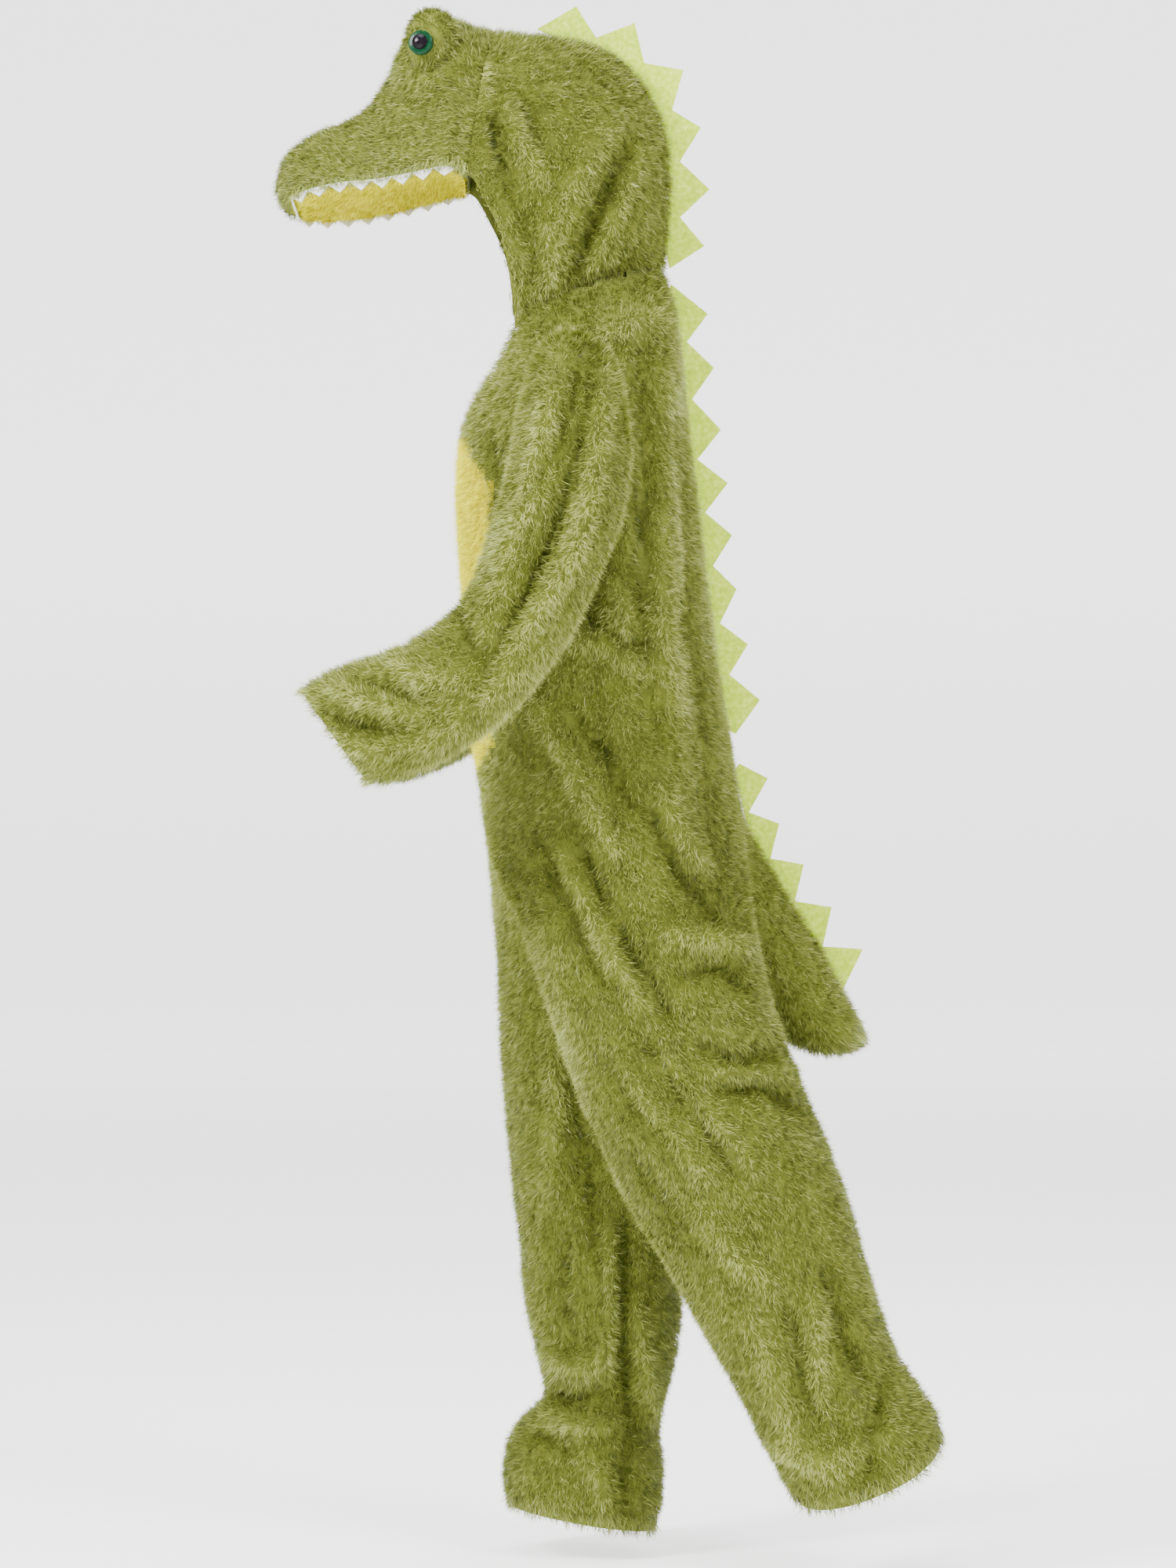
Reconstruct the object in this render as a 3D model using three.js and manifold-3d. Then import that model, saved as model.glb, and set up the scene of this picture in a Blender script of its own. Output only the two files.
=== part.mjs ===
// Crocodile costume: a hooded plush jumpsuit, hollow and shown as worn, in mid stride.
// Millimetres, +Z up, -Y to the front, +X to the wearer's left. The origin is midway between the
// shoulders, where the suit hangs. The walls reach as far as the fur does.
import * as THREE from 'three';
import { mergeVertices } from 'three/addons/utils/BufferGeometryUtils.js';
import Module from 'manifold-3d';

const wasm = await Module();
wasm.setup();

// Driving dimensions
const PLUSH = 5;              // backing and pile together
const FELT = 2.4;
const SEAM_GAP = 0.3;
const OPEN_RUN = 40;          // how far a hollow runs past an open edge
const BODY_ROUND = 22;        // points round a body section
const BODY_ROWS = 29;         // sections from shoulder to hem
const SLEEVE_ROUND = 16;
const SLEEVE_ROWS = 15;
const HOOD_ARCH = 16;         // steps over a hood arch
const HOOD_ROWS = 12;
const SNOUT_ARCH = 14;
const SNOUT_FLOOR = 4;        // steps across a snout section's underside
const SNOUT_ROWS = 15;
const TEETH_A_SIDE = 8;
const TOOTH = 12;             // how far a tooth hangs below the lip
const ROOT = 4;               // how deep the felt is caught in its seam

/** Rows of numbers turned into objects, with one name for each column. */
function table(names, rows) {
  const columns = names.split(' ');
  return rows.map((row) => Object.fromEntries(columns.map((name, i) => [name, row[i]])));
}

// Body sections, shoulder to hip, level with the floor: front and back are Y at the centre seam,
// side is the half width and square is the exponent of the rounded section.
const TORSO = table('z front back side square', [
  [64, -45, 64, 62, 2.2],
  [48, -58, 75, 76, 2.2],
  [30, -74, 82, 91, 2.3],
  [5, -100, 88, 114, 2.6],
  [-25, -112, 92, 140, 2.7],
  [-63, -128, 96, 157, 2.6],
  [-99, -148, 100, 164, 2.5],
  [-140, -161, 104, 167, 2.4],
  [-200, -165, 112, 168, 2.3],
  [-266, -162, 119, 168, 2.3],
  [-338, -157, 129, 168, 2.3],
  [-410, -152, 138, 170, 2.3],
  [-472, -148, 148, 175, 2.3],
  [-536, -139, 158, 186, 2.3],
  [-590, -131, 166, 196, 2.3],
]);

// Leg sections, hip to hem, square to the leg: the front and back points in the side view, then X of
// the section's middle, outer and inner points, and how far the outer side sags below the section.
const LEG_COLUMNS = 'frontY frontZ backY backZ middle outer inner square sag';
const LEFT_LEG = table(LEG_COLUMNS, [
  [-115, -647, 170, -640, 45, 202, -45, 2.3, 0],
  [-93, -685, 172, -672, 85, 204, -15, 2.3, 0],
  [-80, -722, 177, -703, 100, 204, 1, 2.3, 0],
  [-65, -755, 182, -731, 103, 203, 3, 2.3, 0],
  [-38, -837, 198, -791, 103, 200, 6, 2.3, 0],
  [-2, -938, 230, -875, 101, 195, 8, 2.3, 0],
  [34, -1014, 260, -945, 99, 190, 10, 2.3, 0],
  [70, -1072, 282, -1007, 97, 184, 12, 2.3, 4],
  [101, -1128, 301, -1073, 95, 178, 14, 2.3, 8],
  [135, -1187, 319, -1128, 93, 172, 16, 2.2, 12],
  [158, -1230, 338, -1177, 92, 168, 17, 2.2, 16],
  [180, -1270, 358, -1208, 92, 170, 15, 2.2, 20],
  [197, -1303, 378, -1238, 92, 174, 12, 2.2, 24],
  [214, -1336, 390, -1270, 92, 177, 10, 2.2, 28],
]);
const RIGHT_LEG = table(LEG_COLUMNS, [
  [-127, -642, 160, -645, 45, 202, -45, 2.3, 0],
  [-124, -692, 146, -696, 92, 204, -8, 2.3, 0],
  [-122, -722, 138, -726, 100, 203, 1, 2.3, 0],
  [-119, -775, 130, -780, 102, 202, 3, 2.3, 0],
  [-114, -881, 120, -889, 101, 198, 5, 2.3, 0],
  [-105, -986, 111, -990, 99, 192, 8, 2.3, 0],
  [-95, -1065, 103, -1068, 97, 186, 10, 2.3, 0],
  [-90, -1128, 97, -1133, 95, 180, 12, 2.3, 0],
  [-80, -1177, 95, -1180, 93, 174, 14, 2.3, 0],
  [-69, -1222, 86, -1224, 91, 168, 16, 2.2, 0],
  [-69, -1250, 77, -1256, 90, 164, 17, 2.2, 2],
  [-93, -1276, 72, -1289, 90, 168, 13, 2.2, 4],
  [-110, -1310, 74, -1330, 90, 174, 10, 2.2, 6],
  [-114, -1342, 74, -1368, 90, 176, 8, 2.2, 8],
  [-110, -1372, 68, -1404, 90, 176, 8, 2.2, 10],
]);

// Sleeve sections, armhole to cuff: the front and back points in the side view, X of the middle, the
// half thickness across, and how far the section leans from hanging (0) to the armhole's plane (90).
const SLEEVE = table('frontY frontZ backY backZ middle across lean', [
  [-92, -100, 36, -100, 118, 88, 78],
  [-94, -104, 37, -106, 150, 90, 70],
  [-95, -112, 37, -120, 180, 82, 50],
  [-97, -134, 37, -146, 206, 70, 27],
  [-100, -170, 36, -185, 220, 58, 9],
  [-113, -223, 25, -245, 226, 54, 0],
  [-131, -283, 1, -305, 231, 54, 0],
  [-152, -329, -24, -360, 237, 55, 0],
  [-178, -357, -50, -402, 241, 56, 0],
  [-202, -373, -81, -441, 243, 57, 0],
  [-228, -387, -115, -475, 243, 57, 0],
  [-258, -396, -160, -505, 241, 56, 0],
  [-288, -405, -202, -524, 239, 54, 0],
  [-310, -415, -228, -533, 237, 52, 0],
  [-331, -429, -251, -538, 236, 50, 0],
]);

// Hood arches, neck seam to brow: the face edge and the crown line in the side view, the half width,
// and the angle below level at which the arch ends on the face edge.
const HOOD = table('edgeY edgeZ crownY crownZ wide tuck', [
  [-98, -5, 75, 50, 92, 30],
  [-100, 22, 78, 82, 99, 24],
  [-104, 52, 82, 122, 104, 20],
  [-110, 80, 83, 162, 107, 20],
  [-118, 100, 80, 196, 109, 20],
  [-127, 118, 71, 232, 109, 20],
  [-134, 132, 53, 264, 108, 18],
  [-139, 141, 26, 296, 107, 16],
  [-143, 147, -8, 315, 106, 14],
  [-146, 150, -44, 322, 104, 12],
  [-149, 152, -84, 327, 101, 10],
  [-152, 153, -122, 332, 98, 8],
]);

// Snout sections, brow to tip: the lip edge and the top line in the side view, the half width, the
// exponent of the arch, and the roll in degrees that lifts the left lip.
const SNOUT = table('lipY lipZ topY topZ wide square roll', [
  [-152, 153, -122, 332, 98, 2.2, 0],
  [-170, 158, -160, 334, 96, 2.2, 3],
  [-192, 153, -190, 328, 92, 2.1, 4.5],
  [-214, 148, -221, 305, 86, 2.1, 5.5],
  [-236, 143, -246, 272, 78, 2.1, 7.5],
  [-258, 139, -266, 245, 71, 2.2, 9.5],
  [-282, 136, -296, 226, 65, 2.3, 12],
  [-308, 133, -320, 217, 60, 2.4, 13],
  [-330, 130, -345, 203, 52, 2.4, 13],
  [-347, 128, -362, 187, 41, 2.4, 13],
  [-358, 126, -370, 168, 27, 2.2, 13],
  [-363, 125, -372, 152, 14, 2.0, 12],
]);

// Tail sections, root to blunt tip: the top and under points in the side view and the half width.
const TAIL = table('topY topZ underY underZ wide', [
  [120, -510, 90, -752, 44],
  [152, -552, 118, -776, 50],
  [176, -594, 142, -794, 54],
  [198, -634, 168, -808, 56],
  [222, -674, 194, -820, 55],
  [250, -716, 222, -836, 51],
  [278, -768, 250, -848, 42],
  [297, -800, 280, -848, 28],
  [306, -822, 297, -840, 12],
]);

// Spikes as the tip and the valley after it, in the side view, after each strip's first point.
const SPIKES = {
  hood: { start: [-72, 331], points: table('tipY tipZ endY endZ', [
    [-27, 357, -4, 321],
    [40, 338, 51, 292],
    [96, 284, 83, 238],
    [116, 218, 92, 179],
    [126, 147, 92, 115],
    [120, 82, 80, 56],
  ]) },
  back: { start: [82, 38], points: table('tipY tipZ endY endZ', [
    [124, 4, 100, -28],
    [131, -58, 106, -94],
    [139, -129, 112, -163],
    [147, -190, 121, -224],
    [152, -250, 130, -285],
    [157, -312, 138, -351],
    [170, -375, 149, -410],
    [184, -439, 156, -478],
  ]) },
  tail: { start: [160, -512], points: table('tipY tipZ endY endZ', [
    [193, -529, 171, -568],
    [206, -581, 196, -621],
    [234, -628, 224, -670],
    [266, -677, 256, -722],
    [302, -725, 279, -772],
  ]) },
};

// The belly oval and the neckline scoop, as half widths down the front
const BELLY = table('z half', [
  [-139, 34], [-150, 72], [-168, 97], [-190, 113], [-215, 119], [-260, 121], [-330, 119],
  [-400, 116], [-455, 111], [-485, 101], [-503, 80], [-513, 50], [-518, 20],
]);
const NECKLINE = table('z half', [
  [-126, 6], [-114, 30], [-95, 49], [-63, 66], [-30, 77], [0, 82], [80, 84],
]);

// The largest folds in the side view: three points down each fold, its half breadth, and how far it
// stands out. Troughs are negative.
const FOLD_COLUMNS = 'y1 z1 y2 z2 y3 z3 breadth height';
const TORSO_FOLDS = table(FOLD_COLUMNS, [
  [58, -70, 57, -240, 42, -400, 15, -8],
  [84, -60, 88, -220, 98, -400, 13, 6],
  [28, -210, 24, -300, 30, -400, 14, 6],
  [-16, -325, 10, -352, 40, -392, 13, -9],
  [-20, -395, 30, -430, 92, -520, 17, 6],
  [-70, -470, -30, -560, 20, -640, 20, -6],
  [30, -470, 78, -560, 120, -640, 18, -6],
]);
const LEFT_LEG_FOLDS = table(FOLD_COLUMNS, [
  [-78, -520, -22, -690, 70, -850, 18, -8],
  [-34, -560, 30, -690, 116, -800, 17, 7],
  [40, -610, 90, -680, 165, -735, 15, -8],
  [0, -820, 80, -940, 170, -1040, 20, 6],
  [70, -850, 150, -940, 220, -1010, 18, -6],
  [120, -1040, 180, -1120, 260, -1180, 18, 6],
  [150, -1160, 230, -1180, 320, -1150, 15, -7],
  [190, -1262, 260, -1250, 340, -1212, 14, 7],
]);
const RIGHT_LEG_FOLDS = table(FOLD_COLUMNS, [
  [-70, -560, -20, -700, 60, -800, 18, -7],
  [-40, -700, 0, -900, 20, -1080, 22, 6],
  [20, -740, 50, -900, 60, -1100, 18, -7],
  [-60, -1080, 0, -1140, 70, -1170, 18, 6],
  [-60, -1190, 10, -1205, 80, -1190, 14, -6],
  [-70, -1258, 0, -1268, 68, -1270, 13, -9],
  [-90, -1300, -20, -1310, 60, -1330, 16, 7],
]);
const SLEEVE_FOLDS = table(FOLD_COLUMNS, [
  [-4, -70, -44, -240, -120, -405, 15, 8],
  [22, -110, -4, -250, -58, -345, 14, -8],
  [-70, -140, -98, -250, -150, -340, 16, -6],
  [-60, -350, -140, -410, -230, -430, 14, 6],
  [-90, -420, -180, -470, -280, -470, 15, -7],
  [-262, -408, -276, -450, -290, -500, 16, 5],
]);
const HOOD_FOLDS = table(FOLD_COLUMNS, [
  [32, 203, -4, 130, -28, 68, 14, -8],
  [56, 196, 28, 120, -8, 52, 12, 6],
  [44, 105, -12, 50, -40, 22, 12, -7],
  [-80, 88, -84, 62, -86, 30, 14, -6],
  [-108, 215, -98, 190, -90, 160, 14, -5],
]);

// Eyes: furry domes on the brow with a plastic eye on the outer side of each
const DOME = { x: 50, y: -190, z: 306, across: 38, tall: 43, deep: 36 };
const EYE = { x: 84.5, y: -203, z: 303, rim: 14.2, pupil: 9, turn: -14, tilt: 8 };

const MATERIALS = {
  greenPlush: new THREE.MeshStandardMaterial({ color: '#93a048', roughness: 0.9, metalness: 0 }),
  yellowPlush: new THREE.MeshStandardMaterial({ color: '#e8d732', roughness: 0.9, metalness: 0 }),
  limeFelt: new THREE.MeshStandardMaterial({ color: '#bed464', roughness: 0.95, metalness: 0 }),
  whiteFelt: new THREE.MeshStandardMaterial({ color: '#ebebe6', roughness: 0.95, metalness: 0 }),
  greenEye: new THREE.MeshStandardMaterial({ color: '#235f3c', roughness: 0.2, metalness: 0 }),
  darkEye: new THREE.MeshStandardMaterial({ color: '#23191f', roughness: 0.1, metalness: 0 }),
};

/** A solid from points and triangles, turned outwards if its volume comes out negative. */
function solidOf(points, triangles) {
  let volume = 0;
  for (const [a, b, c] of triangles) {
    volume += points[a].dot(new THREE.Vector3().crossVectors(points[b], points[c]));
  }
  const outward = volume > 0 ? triangles : triangles.map(([a, b, c]) => [a, c, b]);
  return new wasm.Manifold(new wasm.Mesh({
    numProp: 3,
    vertProperties: new Float32Array(points.flatMap((p) => [p.x, p.y, p.z])),
    triVerts: new Uint32Array(outward.flat()),
  }));
}

/** A closed three.js geometry as a solid. */
function solidFrom(geometry) {
  geometry.deleteAttribute('normal');
  geometry.deleteAttribute('uv');
  const merged = mergeVertices(geometry, 1e-4);
  const place = merged.getAttribute('position');
  const points = Array.from({ length: place.count }, (_, i) => new THREE.Vector3().fromBufferAttribute(place, i));
  const index = Array.from(merged.index.array);
  const triangles = [];
  for (let i = 0; i < index.length; i += 3) {
    const [a, b, c] = index.slice(i, i + 3);
    if (a !== b && b !== c && a !== c) triangles.push([a, b, c]);
  }
  return solidOf(points, triangles);
}

/** A skin over closed rings of equal count, with a fan closing each end. */
function loft(rings) {
  const around = rings[0].length;
  const points = rings.flat();
  const triangles = [];
  for (let i = 0; i < rings.length - 1; i++) {
    for (let j = 0; j < around; j++) {
      const a = i * around + j;
      const b = i * around + (j + 1) % around;
      triangles.push([a, b, b + around], [a, b + around, a + around]);
    }
  }
  for (const [first, flip] of [[0, true], [(rings.length - 1) * around, false]]) {
    const middle = new THREE.Vector3();
    for (let j = 0; j < around; j++) middle.addScaledVector(points[first + j], 1 / around);
    const hub = points.push(middle) - 1;
    for (let j = 0; j < around; j++) {
      const a = first + j;
      const b = first + (j + 1) % around;
      triangles.push(flip ? [b, a, hub] : [a, b, hub]);
    }
  }
  return solidOf(points, triangles);
}

/** The table's rows as count smooth steps, evenly spaced along the row middles that place gives. */
function smooth(rows, count, place) {
  const names = Object.keys(rows[0]);
  const at = [0];
  for (let i = 1; i < rows.length; i++) {
    const [y0, z0] = place(rows[i - 1]);
    const [y1, z1] = place(rows[i]);
    at.push(at[i - 1] + Math.hypot(y1 - y0, z1 - z0));
  }
  const result = [];
  for (let k = 0; k < count; k++) {
    const run = (at.at(-1) * k) / (count - 1);
    const i = Math.min(at.findLastIndex((d) => d <= run), rows.length - 2);
    const t = (run - at[i]) / (at[i + 1] - at[i]);
    const row = {};
    for (const name of names) {
      const [p1, p2] = [rows[i][name], rows[i + 1][name]];
      const span = at[i + 1] - at[i];
      const slopeIn = i > 0 ? (p2 - rows[i - 1][name]) / (at[i + 1] - at[i - 1]) : (p2 - p1) / span;
      const slopeOut = i + 2 < rows.length ? (rows[i + 2][name] - p1) / (at[i + 2] - at[i]) : (p2 - p1) / span;
      const [m1, m2] = [slopeIn * span, slopeOut * span];
      row[name] = (2 * t ** 3 - 3 * t ** 2 + 1) * p1 + (t ** 3 - 2 * t ** 2 + t) * m1
        + (3 * t ** 2 - 2 * t ** 3) * p2 + (t ** 3 - t ** 2) * m2;
    }
    result.push(row);
  }
  return result;
}

/** How far folds raise the cloth at (y, z) in the side view: a soft ridge along each fold's line. */
function raised(folds, y, z) {
  let height = 0;
  for (const fold of folds) {
    let nearest = Infinity;
    let fade = 1;
    const ends = [[fold.y1, fold.z1], [fold.y2, fold.z2], [fold.y3, fold.z3]];
    for (let i = 0; i < 2; i++) {
      const [ay, az] = ends[i];
      const [by, bz] = ends[i + 1];
      const run = (by - ay) ** 2 + (bz - az) ** 2;
      const t = THREE.MathUtils.clamp(((y - ay) * (by - ay) + (z - az) * (bz - az)) / run, 0, 1);
      const away = Math.hypot(y - ay - t * (by - ay), z - az - t * (bz - az));
      if (away < nearest) {
        nearest = away;
        fade = Math.sin(Math.PI * (0.12 + 0.38 * (i + t))) ** 0.7;
      }
    }
    height += fold.height * fade * Math.exp(-((nearest / fold.breadth) ** 2));
  }
  return height;
}

const power = (value, exponent) => Math.sign(value) * Math.abs(value) ** exponent;

/** A prism along X over an outline in the side view's (y, z). */
function prismX(outline, from, to) {
  const shape = new THREE.Shape(outline.map(([y, z]) => new THREE.Vector2(y, z)));
  const geometry = new THREE.ExtrudeGeometry(shape, { depth: to - from, bevelEnabled: false });
  geometry.applyMatrix4(new THREE.Matrix4().set(0, 0, 1, from, 1, 0, 0, 0, 0, 1, 0, 0, 0, 0, 0, 1));
  return solidFrom(geometry);
}

/** A prism along Y over an outline in the front view's (x, z). */
function prismY(outline, from, to) {
  const shape = new THREE.Shape(outline.map(([x, z]) => new THREE.Vector2(x, z)));
  const geometry = new THREE.ExtrudeGeometry(shape, { depth: to - from, bevelEnabled: false });
  geometry.applyMatrix4(new THREE.Matrix4().set(1, 0, 0, 0, 0, 0, -1, to, 0, 1, 0, 0, 0, 0, 0, 1));
  return solidFrom(geometry);
}

/** The largest of a cut solid's separate bodies. */
function whole(solid) {
  return solid.decompose().sort((a, b) => b.volume() - a.volume())[0];
}

/** The same solid on the wearer's right. */
const mirrored = (solid) => solid.mirror([1, 0, 0]);

/** All body rows of one side in the leg's columns, from shoulder to hem. */
function bodyRows(leg) {
  const torso = TORSO.map((row) => ({
    frontY: row.front, frontZ: row.z, backY: row.back, backZ: row.z,
    middle: row.z < -560 ? 10 : 0, outer: row.side, inner: -60, square: row.square, sag: 0,
  }));
  const middleOf = (row) => [(row.frontY + row.backY) / 2, (row.frontZ + row.backZ) / 2];
  return smooth([...torso, ...leg], BODY_ROWS, middleOf);
}

/** A rounded body section, inset by a wall, with folds raised on its outer side. */
function bodyRing(row, folds, inset, split) {
  const depth = Math.hypot(row.backY - row.frontY, row.backZ - row.frontZ) / 2;
  return Array.from({ length: BODY_ROUND }, (_, k) => {
    const angle = (2 * Math.PI * k) / BODY_ROUND;
    const outward = power(Math.cos(angle), 2 / row.square);
    const along = power(Math.sin(angle), 2 / row.square);
    const reach = outward > 0 ? row.outer - row.middle : row.middle - row.inner;
    const share = 0.5 + 0.5 * along;
    const [y, z] = [row.frontY + share * (row.backY - row.frontY), row.frontZ + share * (row.backZ - row.frontZ)];
    const away = row.middle + outward * reach;
    const fade = THREE.MathUtils.smoothstep(away, 15, 70) * (outward > 0 ? 1 : 0);
    const lift = raised(folds, y, z) * fade - inset;
    const direction = new THREE.Vector2(outward / reach, along / depth).normalize();
    const x = away + direction.x * lift;
    const slide = (direction.y * lift) / (2 * depth);
    const hang = outward > 0 ? row.sag * outward : 0;
    return new THREE.Vector3(
      split ? Math.max(x, SEAM_GAP / 2) : x,
      y + slide * (row.backY - row.frontY),
      z + slide * (row.backZ - row.frontZ) - hang,
    );
  });
}

/** One side's body as a filled outer form and the hollow inside its wall, which runs past both ends. */
function bodySide(leg, folds) {
  const rows = bodyRows(leg);
  const rings = (inset, split) => rows.map((row) => bodyRing(row, folds, inset, split));
  const hollow = rings(PLUSH, false);
  hollow.unshift(hollow[0].map((p) => p.clone().add(new THREE.Vector3(0, 0, OPEN_RUN))));
  const [last, before] = [hollow.at(-1), hollow.at(-2)];
  hollow.push(last.map((p, j) => p.clone().sub(before[j]).setLength(OPEN_RUN).add(p)));
  const seam = rows.map((row) => [(row.frontY + row.backY) / 2 + 6, (row.frontZ + row.backZ) / 2]);
  return { outer: loft(rings(0, true)), grown: loft(rings(-SEAM_GAP, false)), hollow: loft(hollow), seam };
}

/** The sleeve's rings: an oval between the front and back points, leaning into the armhole. */
function sleeveRings(inset, runOut) {
  const middleOf = (row) => [(row.frontY + row.backY) / 2 + row.middle * 0.5, (row.frontZ + row.backZ) / 2];
  const rings = smooth(SLEEVE, SLEEVE_ROWS, middleOf).map((row) => {
    const half = Math.hypot(row.backY - row.frontY, row.backZ - row.frontZ) / 2;
    const lean = THREE.MathUtils.degToRad(row.lean);
    return Array.from({ length: SLEEVE_ROUND }, (_, k) => {
      const angle = (2 * Math.PI * k) / SLEEVE_ROUND;
      const out = power(Math.cos(angle), 0.92);
      const along = power(Math.sin(angle), 0.92);
      const share = 0.5 + 0.5 * along;
      const y = row.frontY + share * (row.backY - row.frontY);
      const z = row.frontZ + share * (row.backZ - row.frontZ);
      const lift = (out > 0 ? raised(SLEEVE_FOLDS, y, z) * out ** 0.5 : 0) - inset;
      const across = out * row.across + Math.cos(angle) * lift;
      const slide = (Math.sin(angle) * lift) / (2 * half);
      return new THREE.Vector3(
        row.middle + Math.cos(lean) * across,
        y + slide * (row.backY - row.frontY),
        z + slide * (row.backZ - row.frontZ) + Math.sin(lean) * across,
      );
    });
  });
  if (runOut) {
    const [last, before] = [rings.at(-1), rings.at(-2)];
    rings.push(last.map((p, j) => p.clone().sub(before[j]).setLength(OPEN_RUN).add(p)));
  }
  return rings;
}

/** A point on a hood arch, at an angle from its left face edge over the crown to the right one. */
function archPoint(row, angle, inset) {
  const low = Math.sin(THREE.MathUtils.degToRad(-row.tuck));
  const rise = (Math.sin(angle) - low) / (1 - low);
  const tall = Math.hypot(row.crownY - row.edgeY, row.crownZ - row.edgeZ);
  const up = new THREE.Vector2(row.crownY - row.edgeY, row.crownZ - row.edgeZ).divideScalar(tall);
  const x = row.wide * Math.cos(angle);
  const [y, z] = [row.edgeY + rise * tall * up.x, row.edgeZ + rise * tall * up.y];
  const lift = raised(HOOD_FOLDS, y, z) * Math.abs(Math.cos(angle)) * THREE.MathUtils.smoothstep(rise, 0.04, 0.2) - inset;
  const climb = Math.max(Math.sin(angle), 0) * lift;
  return new THREE.Vector3(x + Math.cos(angle) * lift, y + climb * up.x, z + climb * up.y);
}

/** The hood's filled outer form and its hollow, which runs out of the face, the neck and the brow. */
function hoodForms() {
  const crownOf = (row) => [(row.crownY + row.edgeY) / 2, (row.crownZ + row.edgeZ) / 2];
  const rows = smooth(HOOD, HOOD_ROWS, (row) => [crownOf(row)[0] * 0.4 + row.crownY * 0.6, row.crownZ]);
  const arch = (row, inset) => Array.from({ length: HOOD_ARCH + 1 }, (_, k) => {
    const low = THREE.MathUtils.degToRad(-row.tuck);
    return archPoint(row, low + ((Math.PI - 2 * low) * k) / HOOD_ARCH, inset);
  });
  const hollow = rows.map((row) => {
    const points = arch(row, PLUSH);
    const away = new THREE.Vector3(0, row.edgeY - row.crownY, row.edgeZ - row.crownZ).setLength(OPEN_RUN);
    return [points[0].clone().add(away), ...points, points.at(-1).clone().add(away)];
  });
  const normal = (row) => new THREE.Vector3(0, -(row.crownZ - row.edgeZ), row.crownY - row.edgeY).normalize();
  const [first, last] = [normal(rows[0]), normal(rows.at(-1))];
  hollow.unshift(hollow[0].map((p) => p.clone().addScaledVector(first, -OPEN_RUN)));
  hollow.push(hollow.at(-1).map((p) => p.clone().addScaledVector(last, OPEN_RUN)));
  const grown = rows.map((row) => arch(row, -SEAM_GAP));
  return { outer: loft(rows.map((row) => arch(row, 0))), grown: loft(grown), hollow: loft(hollow) };
}

const snoutRows = smooth(SNOUT, SNOUT_ROWS, (row) => [row.lipY + row.topY, row.topZ]);

/** A point of a snout section: across from its middle and up from the lip, in the rolled section. */
function snoutPoint(row, across, up) {
  const tall = Math.hypot(row.topY - row.lipY, row.topZ - row.lipZ);
  const roll = THREE.MathUtils.degToRad(row.roll);
  const x = across * Math.cos(roll) - up * Math.sin(roll);
  const rise = up * Math.cos(roll) + across * Math.sin(roll);
  return new THREE.Vector3(
    x,
    row.lipY + (rise * (row.topY - row.lipY)) / tall,
    row.lipZ + (rise * (row.topZ - row.lipZ)) / tall,
  );
}

/** A closed snout section: an arch from lip to lip, then a slightly hollow underside. */
function snoutRing(row, inset) {
  const tall = Math.hypot(row.topY - row.lipY, row.topZ - row.lipZ);
  const arch = Array.from({ length: SNOUT_ARCH + 1 }, (_, k) => {
    const angle = (Math.PI * k) / SNOUT_ARCH;
    const across = power(Math.cos(angle), 2 / row.square) * (row.wide - inset);
    return snoutPoint(row, across, Math.abs(Math.sin(angle)) ** (2 / row.square) * (tall - inset));
  });
  const under = Array.from({ length: SNOUT_FLOOR - 1 }, (_, k) => {
    const share = (2 * (k + 1)) / SNOUT_FLOOR - 1;
    return snoutPoint(row, share * (row.wide - inset), palateRise(row, share));
  });
  return [...arch, ...under];
}

/** How far the snout's underside rises between its lips. */
function palateRise(row, share) {
  return 0.07 * row.wide * (1 - share * share);
}

/** The snout, set forward of the hood's brow seam by the seam gap. */
function snoutSolid(inset) {
  const rings = snoutRows.map((row) => snoutRing(row, inset));
  const first = rings[0];
  const ahead = new THREE.Vector3(0, SNOUT[0].topZ - SNOUT[0].lipZ, -(SNOUT[0].topY - SNOUT[0].lipY));
  ahead.setLength(-SEAM_GAP);
  rings[0] = first.map((p) => p.clone().add(ahead));
  return loft(rings);
}

/** The palate: a pad under the snout between its lips, made from the underside's points moved down. */
function palateSolid() {
  const rim = 4.6;
  const thick = 6;
  const rows = snoutRows.slice(1, -1);
  const rings = rows.map((row) => {
    const half = row.wide - rim;
    const line = (drop, flip) => Array.from({ length: 7 }, (_, k) => {
      const share = (flip ? -1 : 1) * ((2 * k) / 6 - 1);
      const rounded = drop * (1 - 0.55 * Math.abs(share) ** 4);
      return snoutPoint(row, share * half, palateRise(row, share) - SEAM_GAP * 1.7 - rounded);
    });
    return [...line(0, false), ...line(thick, true)];
  });
  return loft(rings);
}

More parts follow.
